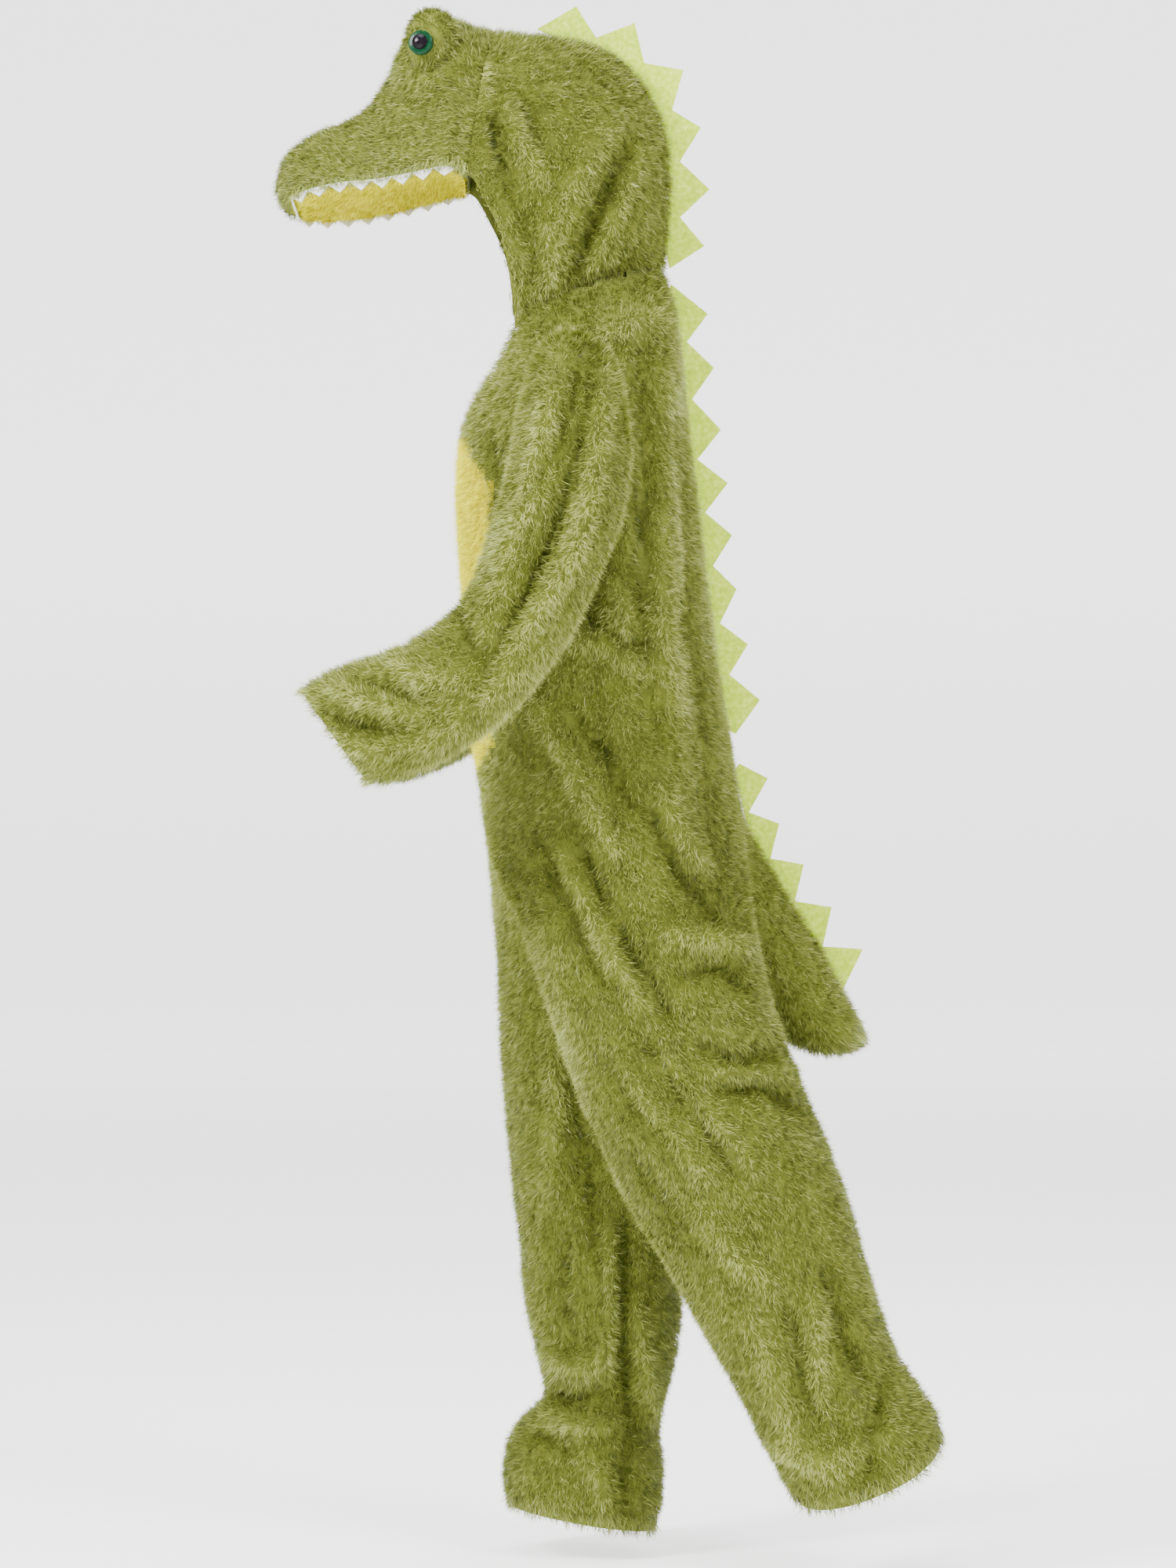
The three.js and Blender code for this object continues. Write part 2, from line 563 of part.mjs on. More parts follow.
/** The teeth: one white strip round both lips and the tip, its lower edge a zigzag, or its whole band grown. */
function teethSolid(grow) {
  const lip = smooth(snoutRows.slice(1, -1), 2 * TEETH_A_SIDE + 1, (row) => [row.lipY, row.wide]);
  const front = lip.at(-1);
  const path = [
    ...lip.map((row) => ({ row, across: row.wide - 2.2 })),
    ...[0.5, 0, -0.5].map((share) => ({ row: front, across: share * front.wide })),
    ...lip.toReversed().map((row) => ({ row, across: -(row.wide - 2.2) })),
  ];
  const rings = path.map(({ row, across }, k) => {
    const at = (i) => snoutPoint(path[i].row, path[i].across, 0);
    const [a, b] = [at(Math.max(k - 1, 0)), at(Math.min(k + 1, path.length - 1))];
    const down = snoutPoint(row, across, -1).sub(snoutPoint(row, across, 0));
    const inward = new THREE.Vector3().crossVectors(down, b.clone().sub(a)).setLength(FELT / 2 + grow);
    const share = across / row.wide;
    const top = snoutPoint(row, across, Math.min(palateRise(row, share), 0.8) - SEAM_GAP - 0.6 + 3 * grow);
    const edge = snoutPoint(row, across, k % 2 || grow > 0 ? -TOOTH : -1.5);
    return [top.clone().add(inward), edge.clone().add(inward), edge.clone().sub(inward), top.clone().sub(inward)];
  });
  return loft(rings);
}

/** A domed disc about Z, from the axis out to its rim and back. */
function disc(profile) {
  const points = profile.map(([r, h]) => new THREE.Vector2(r, h));
  return new THREE.LatheGeometry(points, 16).rotateX(Math.PI / 2);
}

/** One of the left eye's plastic pieces, turned to look outwards and placed on the dome. */
function eyePiece(profile) {
  const geometry = disc(profile).rotateY(Math.PI / 2);
  geometry.rotateY(THREE.MathUtils.degToRad(-EYE.tilt)).rotateZ(THREE.MathUtils.degToRad(EYE.turn));
  return solidFrom(geometry.translate(EYE.x, EYE.y, EYE.z));
}

/** A felt strip of spikes in the centre plane, with its root caught in the seam below it. */
function spikeOutline(strip, rootLine) {
  const outer = [strip.start];
  for (const { tipY, tipZ, endY, endZ } of strip.points) {
    outer.push([tipY, tipZ], [endY, endZ]);
  }
  return [...outer, ...rootLine.toReversed()];
}

/** A line down the back in the side view, moved into the cloth by a distance. */
function movedLine(line, distance) {
  return line.map((point, i) => {
    const a = line[Math.max(i - 1, 0)];
    const b = line[Math.min(i + 1, line.length - 1)];
    const long = Math.hypot(b[0] - a[0], b[1] - a[1]);
    return [point[0] + (distance * (b[1] - a[1])) / long, point[1] - (distance * (b[0] - a[0])) / long];
  });
}

/** The stretch of a line between two heights. */
const stretch = (line, high, low) => line.filter(([, z]) => z < high && z > low);

// Body halves: a wall with its hollow, cut by the neck seam, the neckline and the armhole
const neckSeam = (shift) => {
  const [edge, crown] = [[HOOD[0].edgeY, HOOD[0].edgeZ], [HOOD[0].crownY, HOOD[0].crownZ]];
  const slope = (crown[1] - edge[1]) / (crown[0] - edge[0]);
  const heightAt = (y) => edge[1] + slope * (y - edge[0]) + shift;
  return [[-300, heightAt(-300)], [300, heightAt(300)], [300, 600], [-300, 600]];
};
const aboveNeck = prismX(neckSeam(-SEAM_GAP), -400, 400);
const bothSides = (rows, grow, extra = []) => [
  ...rows.map(({ z, half }) => [half + grow, z]),
  ...extra,
  ...rows.toReversed().map(({ z, half }) => [-half - grow, z]),
];
const necklineHole = prismY(bothSides(NECKLINE, 0), -400, -20);
const bellyOval = (grow) => prismY(bothSides(BELLY, grow), -400, -40);
const centre = (side) => prismX([[-500, -1600], [500, -1600], [500, 500], [-500, 500]], side > 0 ? SEAM_GAP / 2 : -500,
  side > 0 ? 500 : -SEAM_GAP / 2);

/** The region in front of a side's seam line, or behind it, as a prism. */
function seamRegion(seam, front) {
  const shift = (front ? -1 : 1) * (SEAM_GAP / 2);
  const line = [[seam[0][0], 300], ...seam, [seam.at(-1)[0] + (seam.at(-1)[0] - seam.at(-2)[0]) * 3,
    seam.at(-1)[1] + (seam.at(-1)[1] - seam.at(-2)[1]) * 3]].map(([y, z]) => [y + shift, z]);
  const far = front ? -700 : 700;
  return prismX([...line, [far, line.at(-1)[1]], [far, 300]], -50, 500);
}

const sides = {
  left: bodySide(LEFT_LEG, [...TORSO_FOLDS, ...LEFT_LEG_FOLDS]),
  right: bodySide(RIGHT_LEG, [...TORSO_FOLDS, ...RIGHT_LEG_FOLDS]),
};
const sleeveHollow = loft(sleeveRings(PLUSH, true));
const sleeveOuter = loft(sleeveRings(0, false));
const spineLine = TORSO.map((row) => [row.back, row.z]);
const crownLine = HOOD.toReversed().map((row) => [row.crownY, row.crownZ]);
const tailLine = TAIL.map((row) => [row.topY, row.topZ]);
const spikeLines = {
  hood: stretch(crownLine, 400, 51).filter(([y, z]) => y > -70 || z < 300),
  back: stretch(spineLine, 40, -480),
  tail: [[158, -520], ...tailLine.filter(([, z]) => z < -590 && z > -770)],
};

/** A spike strip's felt and the slot that its root needs. */
function spikeStrip(name) {
  const root = movedLine(spikeLines[name], ROOT);
  const felt = prismX(spikeOutline(SPIKES[name], root), -FELT / 2, FELT / 2);
  const slotRoot = movedLine(spikeLines[name], ROOT + SEAM_GAP);
  const slot = prismX(spikeOutline(SPIKES[name], slotRoot), -FELT / 2 - SEAM_GAP, FELT / 2 + SEAM_GAP);
  return { felt, slot };
}
const spikes = { hood: spikeStrip('hood'), back: spikeStrip('back'), tail: spikeStrip('tail') };

const pieces = [];
const add = (name, material, solid) => pieces.push({ name, material, solid: whole(solid) });

for (const [side, form] of Object.entries(sides)) {
  const place = side === 'left' ? (solid) => solid : mirrored;
  const wall = form.outer.subtract(form.hollow).subtract(aboveNeck).subtract(sleeveHollow);
  const front = wall.intersect(seamRegion(form.seam, true)).subtract(necklineHole);
  const back = wall.intersect(seamRegion(form.seam, false)).subtract(spikes.back.slot).subtract(spikes.hood.slot);
  add(`front_${side}`, 'greenPlush', place(front.subtract(bellyOval(SEAM_GAP))));
  add(`back_${side}`, 'greenPlush', place(back.subtract(spikes.tail.slot)));
  add(`belly_${side}`, 'yellowPlush', place(front.intersect(bellyOval(0))));
  add(`sleeve_${side}`, 'greenPlush', place(sleeveOuter.subtract(sleeveHollow).subtract(form.grown)));
}

const hood = hoodForms();
const hoodWall = hood.outer.subtract(hood.hollow).subtract(spikes.hood.slot).subtract(spikes.back.slot);
add('hood_left', 'greenPlush', hoodWall.intersect(centre(1)));
add('hood_right', 'greenPlush', hoodWall.intersect(centre(-1)));

const snout = snoutSolid(0);
const dome = solidFrom(new THREE.SphereGeometry(1, 14, 8).scale(DOME.across, DOME.deep, DOME.tall)
  .translate(DOME.x, DOME.y, DOME.z));
const iris = eyePiece([[0, -5], [EYE.rim, -5], [EYE.rim, 0.5], [EYE.rim - 2, 2.2], [EYE.pupil, 2.6], [0, 2.6]]);
const irisSeat = eyePiece([[0, -5.3], [EYE.rim + 0.3, -5.3], [EYE.rim + 0.3, 12], [0, 12]]);
const pupil = eyePiece([[0, 2.9], [EYE.pupil, 2.9], [EYE.pupil - 0.8, 5], [EYE.pupil / 2, 7], [0, 7.6]]);
add('snout', 'greenPlush', snout);
const snoutGrown = snoutSolid(-SEAM_GAP);
const leftDome = dome.subtract(snoutGrown).subtract(irisSeat).subtract(hood.grown);
const rightDome = mirrored(dome).subtract(snoutGrown).subtract(mirrored(irisSeat)).subtract(hood.grown);
add('eye_dome_left', 'greenPlush', leftDome);
add('eye_dome_right', 'greenPlush', rightDome);
add('eye_left', 'greenEye', iris);
add('eye_right', 'greenEye', mirrored(iris));
add('pupil_left', 'darkEye', pupil);
add('pupil_right', 'darkEye', mirrored(pupil));
add('palate', 'yellowPlush', palateSolid().subtract(teethSolid(SEAM_GAP)));
add('teeth', 'whiteFelt', teethSolid(0));

const tailRings = smooth(TAIL, 11, (row) => [row.topY, row.topZ]).map((row) => {
  const [y, z] = [(row.topY + row.underY) / 2, (row.topZ + row.underZ) / 2];
  return Array.from({ length: 14 }, (_, k) => {
    const angle = (2 * Math.PI * k) / 14;
    const up = Math.sin(angle);
    return new THREE.Vector3(row.wide * Math.cos(angle), y + (up * (row.topY - row.underY)) / 2,
      z + (up * (row.topZ - row.underZ)) / 2);
  });
});
add('tail', 'greenPlush', loft(tailRings).subtract(sides.left.grown).subtract(mirrored(sides.right.grown))
  .subtract(spikes.tail.slot));
for (const [name, { felt }] of Object.entries(spikes)) {
  add(`spikes_${name}`, 'limeFelt', felt);
}

/** A solid as a named three.js mesh. */
function meshOf({ name, material, solid }) {
  const { vertProperties, triVerts } = solid.getMesh();
  const geometry = new THREE.BufferGeometry();
  geometry.setAttribute('position', new THREE.BufferAttribute(vertProperties, 3));
  geometry.setIndex(new THREE.BufferAttribute(triVerts, 1));
  geometry.computeVertexNormals();
  const mesh = new THREE.Mesh(geometry, MATERIALS[material]);
  mesh.name = name;
  return mesh;
}

const costume = new THREE.Group();
costume.add(...pieces.map(meshOf));
export default costume;
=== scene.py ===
# %% [markdown]
# # A plush crocodile costume
#
# The real suit is cut from long-pile plush: a knitted backing with glossy strands about 10 mm long.
# Its colour, its soft outline and its sparkle all come from those strands. So each panel is made
# twice here: once as a thin shell of backing, and once as many thousands of strands rooted on it.

# %% Load the frame
import math

import bpy
import numpy as np
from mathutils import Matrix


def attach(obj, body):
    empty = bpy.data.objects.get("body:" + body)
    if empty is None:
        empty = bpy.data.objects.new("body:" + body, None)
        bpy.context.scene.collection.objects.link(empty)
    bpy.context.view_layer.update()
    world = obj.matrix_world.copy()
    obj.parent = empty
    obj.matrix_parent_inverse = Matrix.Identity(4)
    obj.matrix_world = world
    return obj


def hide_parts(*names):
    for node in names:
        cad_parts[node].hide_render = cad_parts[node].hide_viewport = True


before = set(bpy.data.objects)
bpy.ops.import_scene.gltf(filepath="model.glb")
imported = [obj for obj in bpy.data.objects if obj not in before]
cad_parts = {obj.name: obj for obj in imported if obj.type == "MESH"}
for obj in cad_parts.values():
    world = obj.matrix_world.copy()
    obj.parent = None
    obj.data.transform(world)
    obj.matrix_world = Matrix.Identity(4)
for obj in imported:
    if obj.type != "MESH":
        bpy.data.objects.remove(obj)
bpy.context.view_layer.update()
MM = 0.001
PILE = 5.0  # mm from the pile's roots to the solids' outer skin, which its tips reach
BACKING = 7.0  # mm from the backing to the same skin

# %% [markdown]
# ## Camera
#
# The photo is a level side view, taken from a few metres away at the height of the hips. At the
# suit's middle plane one pixel of the 1500 by 2000 picture is 0.9 mm, and that fixes the lens.

# %% Camera
CAMERA_AWAY = 5.5
CAMERA_Y = -0.0135
CAMERA_Z = -0.5355
PICTURE_TALL = 2000 * 0.9 * MM
SENSOR = 36.0

camera_data = bpy.data.cameras.new("camera")
camera_data.sensor_width = SENSOR
camera_data.lens = SENSOR * CAMERA_AWAY / PICTURE_TALL
camera = bpy.data.objects.new("camera", camera_data)
camera.location = (CAMERA_AWAY, CAMERA_Y, CAMERA_Z)
camera.rotation_euler = (math.pi / 2, 0, math.pi / 2)
bpy.context.scene.collection.objects.link(camera)
bpy.context.scene.camera = camera
print("lens", round(camera_data.lens, 1), "mm")

# %% [markdown]
# ## Studio
#
# The photo is cut out on white. A pale sheet that sweeps up behind the suit gives the same empty
# ground from every side, and large soft lamps keep the pile's shadows gentle.

# %% Helpers that put arrays into meshes
def new_object(name, points, faces, smooth=True):
    """An object at the origin from points in metres and an array of equal-sized faces."""
    mesh = bpy.data.meshes.new(name)
    sides = faces.shape[1]
    mesh.vertices.add(len(points))
    mesh.vertices.foreach_set("co", np.ascontiguousarray(points, np.float32).ravel())
    mesh.loops.add(faces.size)
    mesh.loops.foreach_set("vertex_index", np.ascontiguousarray(faces, np.int32).ravel())
    mesh.polygons.add(len(faces))
    mesh.polygons.foreach_set("loop_start", np.arange(0, faces.size, sides, dtype=np.int32))
    mesh.polygons.foreach_set("use_smooth", np.full(len(faces), smooth))
    mesh.update(calc_edges=True)
    made = bpy.data.objects.new(name, mesh)
    bpy.context.scene.collection.objects.link(made)
    return made


def grid_faces(rows, columns, closed):
    """Quads between the points of a grid, wrapped round its columns if it is closed."""
    across = np.arange(columns if closed else columns - 1)
    down = np.arange(rows - 1)[:, None] * columns
    a, b = down + across, down + (across + 1) % columns
    return np.stack([a, b, b + columns, a + columns], -1).reshape(-1, 4)


# %% Floor and lamps
FLOOR_Z = -1.431


def studio_floor():
    """A flat floor: a grid over x and y that rises along a quarter circle into a wall behind."""
    rows, columns = 120, 12
    start, flat, radius, tall, reach = 6.5, 17.0, 1.6, 5.0, 40.0  # metres
    bend = radius * math.pi / 2
    along = np.linspace(0, 1, rows) * (flat + bend + tall)
    angle = np.clip((along - flat) / radius, 0, math.pi / 2)
    x = start - np.minimum(along, flat) - radius * np.sin(angle)
    z = FLOOR_Z + radius * (1 - np.cos(angle)) + np.maximum(along - flat - bend, 0)
    y = np.linspace(-reach, reach, columns)
    points = np.stack(np.broadcast_arrays(x[:, None], y, z[:, None]), -1)
    faces = grid_faces(rows, columns, False)[:, ::-1]
    return new_object("studio_floor", points.reshape(-1, 3), faces)


def lamp(name, place, aim, size, watts):
    """A soft rectangular lamp, in metres and watts, turned from its place towards its aim."""
    data = bpy.data.lights.new(name, "AREA")
    data.shape = "RECTANGLE"
    data.size, data.size_y = size
    data.energy = watts
    made = bpy.data.objects.new(name, data)
    made.location = place
    away = np.array(place) - np.array(aim)
    tilt = math.atan2(math.hypot(away[0], away[1]), away[2])
    made.rotation_euler = (tilt, 0, math.atan2(away[1], away[0]) + math.pi / 2)
    bpy.context.scene.collection.objects.link(made)


floor = studio_floor()
lamp("key", (2.3, -3.2, 2.3), (0, 0, 0), (1.1, 1.5), 320)
lamp("fill", (3.2, 3.0, 2.2), (0, 0, 0), (1.6, 2.0), 260)
lamp("top", (0.9, -0.6, 2.9), (0, 0, -0.2), (2.2, 2.2), 130)
lamp("behind", (-2.0, 2.2, 1.6), (0, 0, -0.4), (2.0, 2.4), 60)
world = bpy.data.worlds.new("studio")
world.use_nodes = True
background = world.node_tree.nodes["Background"]
background.inputs["Color"].default_value = (1, 1, 1, 1)
background.inputs["Strength"].default_value = 0.36
bpy.context.scene.world = world
print("floor at", FLOOR_Z, "m and four lamps")

# %% [markdown]
# ## Finishes
#
# Shader maths is written as Python: a Wire is one socket, and adding or multiplying Wires adds the
# Math nodes. Every other node comes from Finish.node.


# %% Wires and finishes
class Wire:
    """One output socket, which takes part in sums as a number would."""

    def __init__(self, finish, socket):
        self.finish, self.socket = finish, socket

    def _math(self, operation, other):
        return self.finish.node("ShaderNodeMath", {"operation": operation}, {0: self, 1: other})

    def __add__(self, other):
        return self._math("ADD", other)

    def __mul__(self, other):
        return self._math("MULTIPLY", other)

    __radd__ = __add__
    __rmul__ = __mul__


class Finish:
    """A material whose Principled shader is filled in with set()."""

    def __init__(self, name):
        self.material = bpy.data.materials.new(name)
        self.material.use_nodes = True
        self.tree = self.material.node_tree
        self.shader = self.tree.nodes["Principled BSDF"]

    def node(self, kind, settings=None, sockets=None, output=0):
        """Adds a node: its settings first, then the values or Wires of its sockets."""
        made = self.tree.nodes.new(kind)
        for name, value in (settings or {}).items():
            if name == "stops":
                while len(made.color_ramp.elements) < len(value):
                    made.color_ramp.elements.new(1.0)
                for stop, (place, colour) in zip(made.color_ramp.elements, value):
                    stop.position = place
                    stop.color = (*colour, 1)
            else:
                setattr(made, name, value)
        for name, value in (sockets or {}).items():
            if isinstance(value, Wire):
                self.tree.links.new(value.socket, made.inputs[name])
            else:
                made.inputs[name].default_value = value
        return Wire(self, made.outputs[output])

    def set(self, name, value):
        """Gives one of the shader's sockets a value or a Wire."""
        if isinstance(value, Wire):
            self.tree.links.new(value.socket, self.shader.inputs[name])
        else:
            self.shader.inputs[name].default_value = value

    def noise(self, scale, detail=2.0):
        """Soft noise on Object coordinates, scale in cycles a metre."""
        place = self.node("ShaderNodeTexCoord", output="Object")
        return self.node(
            "ShaderNodeTexNoise", None, {"Vector": place, "Scale": scale, "Detail": detail}, "Fac"
        )

    def ramp(self, stops, value):
        """The colour that a ramp's stops give at a value from 0 to 1."""
        return self.node("ShaderNodeValToRGB", {"stops": stops}, {0: value}, "Color")

    def bump(self, height, distance):
        """Relief in the light alone, whose depth is the distance in metres."""
        sockets = {"Height": height, "Distance": distance, "Strength": 1.0}
        self.set("Normal", self.node("ShaderNodeBump", None, sockets, "Normal"))


# %% [markdown]
# ### Pile, backing, felt and plastic
#
# Each strand carries two numbers in its UV map: its tone, from dull to bright, and how far along the
# strand a point lies. The colour reads only those two, dark at the root and pale at the tip, so the
# map bakes without loss however many strands share a place in it. Backing, felt and plastic have no
# such strands, so noise over the piece itself varies their colour.

# %% Pile, backing, felt and plastic
STRAND_MAP = "OFBake"


def pile_finish(name, stops, gloss):
    """Strands: the ramp is read at 0.6 of a strand's tone + 0.4 of the way along it."""
    finish = Finish(name)
    spot = finish.node("ShaderNodeUVMap", {"uv_map": STRAND_MAP})
    tone = finish.node("ShaderNodeSeparateXYZ", None, {0: spot}, "X")
    along = finish.node("ShaderNodeSeparateXYZ", None, {0: spot}, "Y")
    finish.set("Base Color", finish.ramp(stops, tone * 0.6 + along * 0.4))
    finish.set("Roughness", 0.4)
    finish.set("Specular IOR Level", gloss)
    return finish.material


def backing_finish(name, dark, light):
    """Knitted backing: mottled over a few centimetres, with a fine bump."""
    finish = Finish(name)
    finish.set("Base Color", finish.ramp([(0.3, dark), (0.7, light)], finish.noise(35)))
    finish.set("Roughness", 0.9)
    finish.bump(finish.noise(900, 3), 0.0008)
    return finish.material


def felt_finish(name, stops, grain):
    """Pressed felt: blotches a few millimetres wide under a fine matted grain."""
    finish = Finish(name)
    blotch = finish.noise(grain, 4) * 0.75 + finish.noise(grain * 0.2, 2) * 0.25
    finish.set("Base Color", finish.ramp(stops, blotch))
    finish.set("Roughness", 0.92)
    finish.set("Specular IOR Level", 0.15)
    finish.bump(finish.noise(1400, 3) * 0.4 + finish.noise(grain, 3) * 0.6, 0.0012)
    return finish.material


def plastic_finish(name, colour, deep, roughness):
    """Moulded plastic: streaks between two colours under a thin clear coat."""
    finish = Finish(name)
    finish.set("Base Color", finish.ramp([(0.35, deep), (0.65, colour)], finish.noise(260, 2)))
    finish.set("Roughness", roughness)
    finish.set("Specular IOR Level", 0.1)
    finish.set("Coat Weight", 0.06)
    finish.set("Coat Roughness", 0.03)
    return finish.material


GREEN_STOPS = [
    (0.06, (0.040, 0.048, 0.002)),
    (0.34, (0.143, 0.170, 0.016)),
    (0.60, (0.290, 0.328, 0.046)),
    (0.95, (0.740, 0.785, 0.290)),
]
YELLOW_STOPS = [
    (0.12, (0.270, 0.210, 0.0)),
    (0.38, (0.640, 0.570, 0.0)),
    (0.62, (0.940, 0.890, 0.0)),
    (0.90, (1.000, 1.000, 0.040)),
]
LIME_STOPS = [(0.3, (0.40, 0.60, 0.015)), (0.5, (0.56, 0.76, 0.035)), (0.72, (0.76, 0.90, 0.13))]
WHITE_STOPS = [(0.3, (0.74, 0.74, 0.71)), (0.7, (0.88, 0.88, 0.86))]
FINISHES = {
    "green_pile": pile_finish("green_pile", GREEN_STOPS, 0.4),
    "yellow_pile": pile_finish("yellow_pile", YELLOW_STOPS, 0.0),
    "green_backing": backing_finish("green_backing", (0.095, 0.110, 0.006), (0.150, 0.172, 0.012)),
    "yellow_backing": backing_finish("yellow_backing", (0.500, 0.430, 0.0), (0.720, 0.640, 0.0)),
    "lime_felt": felt_finish("lime_felt", LIME_STOPS, 190),
    "white_felt": felt_finish("white_felt", WHITE_STOPS, 240),
    "green_eye": plastic_finish("green_eye", (0.006, 0.058, 0.022), (0.003, 0.032, 0.012), 0.2),
    "dark_eye": plastic_finish("dark_eye", (0.012, 0.008, 0.013), (0.005, 0.003, 0.005), 0.12),
}
chalk = Finish("studio_white")
chalk.set("Base Color", (0.93, 0.93, 0.93, 1))
chalk.set("Roughness", 0.9)
chalk.set("Emission Color", (1, 1, 1, 1))
chalk.set("Emission Strength", 1.6)
floor.data.materials.append(chalk.material)
print(len(FINISHES), "finishes:", ", ".join(FINISHES))

# %% [markdown]
# ## The garment's form
#
# The suit's shape is a set of sections, each a rounded square or an oval between a front and a back
# point of the side view. Short tables hold them, in millimetres, and smooth curves run between the
# rows. These are the solids' own sizes, so the cloth lies exactly inside them.

# %% Tables and curves
def table(names, rows):
    """Columns by name, as one array each."""
    return dict(zip(names.split(), np.array(rows, float).T))


def smooth(columns, count, place):
    """Count rows evenly spaced along the curve that place gives.

    Between two rows each column is a cubic whose slopes are those of the rows on either side.
    """
    y, z = place(columns)
    at = np.concatenate([[0], np.cumsum(np.hypot(np.diff(y), np.diff(z)))])
    run = np.linspace(0, at[-1], count)
    i = np.clip(np.searchsorted(at, run, side="right") - 1, 0, len(at) - 2)
    span = at[i + 1] - at[i]
    t = (run - at[i]) / span
    made = {}
    for name, p in columns.items():
        steps = np.diff(p) / np.diff(at)
        slope = np.concatenate([steps[:1], (p[2:] - p[:-2]) / (at[2:] - at[:-2]), steps[-1:]])
        made[name] = (
            (2 * t**3 - 3 * t**2 + 1) * p[i] + (t**3 - 2 * t**2 + t) * slope[i] * span
            + (3 * t**2 - 2 * t**3) * p[i + 1] + (t**3 - t**2) * slope[i + 1] * span
        )
    return made


def as_columns(rows):
    """The table's columns stood upright, so that they spread across a grid's own columns."""
    return {name: column[:, None] for name, column in rows.items()}


TORSO_ROWS = [
    [64, -45, 64, 62, 2.2], [48, -58, 75, 76, 2.2], [30, -74, 82, 91, 2.3],
    [5, -100, 88, 114, 2.6], [-25, -112, 92, 140, 2.7], [-63, -128, 96, 157, 2.6],
    [-99, -148, 100, 164, 2.5], [-140, -161, 104, 167, 2.4], [-200, -165, 112, 168, 2.3],
    [-266, -162, 119, 168, 2.3], [-338, -157, 129, 168, 2.3], [-410, -152, 138, 170, 2.3],
    [-472, -148, 148, 175, 2.3], [-536, -139, 158, 186, 2.3], [-590, -131, 166, 196, 2.3],
]
TORSO = table("z front back side square", TORSO_ROWS)
LEG_NAMES = "front_y front_z back_y back_z middle outer inner square sag"
LEG_ROWS = {
    "left": [
        [-115, -647, 170, -640, 45, 202, -45, 2.3, 0], [-93, -685, 172, -672, 85, 204, -15, 2.3, 0],
        [-80, -722, 177, -703, 100, 204, 1, 2.3, 0], [-65, -755, 182, -731, 103, 203, 3, 2.3, 0],
        [-38, -837, 198, -791, 103, 200, 6, 2.3, 0], [-2, -938, 230, -875, 101, 195, 8, 2.3, 0],
        [34, -1014, 260, -945, 99, 190, 10, 2.3, 0], [70, -1072, 282, -1007, 97, 184, 12, 2.3, 4],
        [101, -1128, 301, -1073, 95, 178, 14, 2.3, 8], [135, -1187, 319, -1128, 93, 172, 16, 2.2, 12],
        [158, -1230, 338, -1177, 92, 168, 17, 2.2, 16], [180, -1270, 358, -1208, 92, 170, 15, 2.2, 20],
        [197, -1303, 378, -1238, 92, 174, 12, 2.2, 24], [214, -1336, 390, -1270, 92, 177, 10, 2.2, 28],
    ],
    "right": [
        [-127, -642, 160, -645, 45, 202, -45, 2.3, 0], [-124, -692, 146, -696, 92, 204, -8, 2.3, 0],
        [-122, -722, 138, -726, 100, 203, 1, 2.3, 0], [-119, -775, 130, -780, 102, 202, 3, 2.3, 0],
        [-114, -881, 120, -889, 101, 198, 5, 2.3, 0], [-105, -986, 111, -990, 99, 192, 8, 2.3, 0],
        [-95, -1065, 103, -1068, 97, 186, 10, 2.3, 0], [-90, -1128, 97, -1133, 95, 180, 12, 2.3, 0],
        [-80, -1177, 95, -1180, 93, 174, 14, 2.3, 0], [-69, -1222, 86, -1224, 91, 168, 16, 2.2, 0],
        [-69, -1250, 77, -1256, 90, 164, 17, 2.2, 2], [-93, -1276, 72, -1289, 90, 168, 13, 2.2, 4],
        [-110, -1310, 74, -1330, 90, 174, 10, 2.2, 6], [-114, -1342, 74, -1368, 90, 176, 8, 2.2, 8],
        [-110, -1372, 68, -1404, 90, 176, 8, 2.2, 10],
    ],
}
SLEEVE = table("front_y front_z back_y back_z middle across lean", [
    [-92, -100, 36, -100, 118, 88, 78], [-94, -104, 37, -106, 150, 90, 70],
    [-95, -112, 37, -120, 180, 82, 50], [-97, -134, 37, -146, 206, 70, 27],
    [-100, -170, 36, -185, 220, 58, 9], [-113, -223, 25, -245, 226, 54, 0],
    [-131, -283, 1, -305, 231, 54, 0], [-152, -329, -24, -360, 237, 55, 0],
    [-178, -357, -50, -402, 241, 56, 0], [-202, -373, -81, -441, 243, 57, 0],
    [-228, -387, -115, -475, 243, 57, 0], [-258, -396, -160, -505, 241, 56, 0],
    [-288, -405, -202, -524, 239, 54, 0], [-310, -415, -228, -533, 237, 52, 0],
    [-331, -429, -251, -538, 236, 50, 0],
])
HOOD = table("edge_y edge_z crown_y crown_z wide tuck", [
    [-98, -5, 75, 50, 92, 30], [-100, 22, 78, 82, 99, 24], [-104, 52, 82, 122, 104, 20],
    [-110, 80, 83, 162, 107, 20], [-118, 100, 80, 196, 109, 20], [-127, 118, 71, 232, 109, 20],
    [-134, 132, 53, 264, 108, 18], [-139, 141, 26, 296, 107, 16], [-143, 147, -8, 315, 106, 14],
    [-146, 150, -44, 322, 104, 12], [-149, 152, -84, 327, 101, 10], [-152, 153, -122, 332, 98, 8],
])
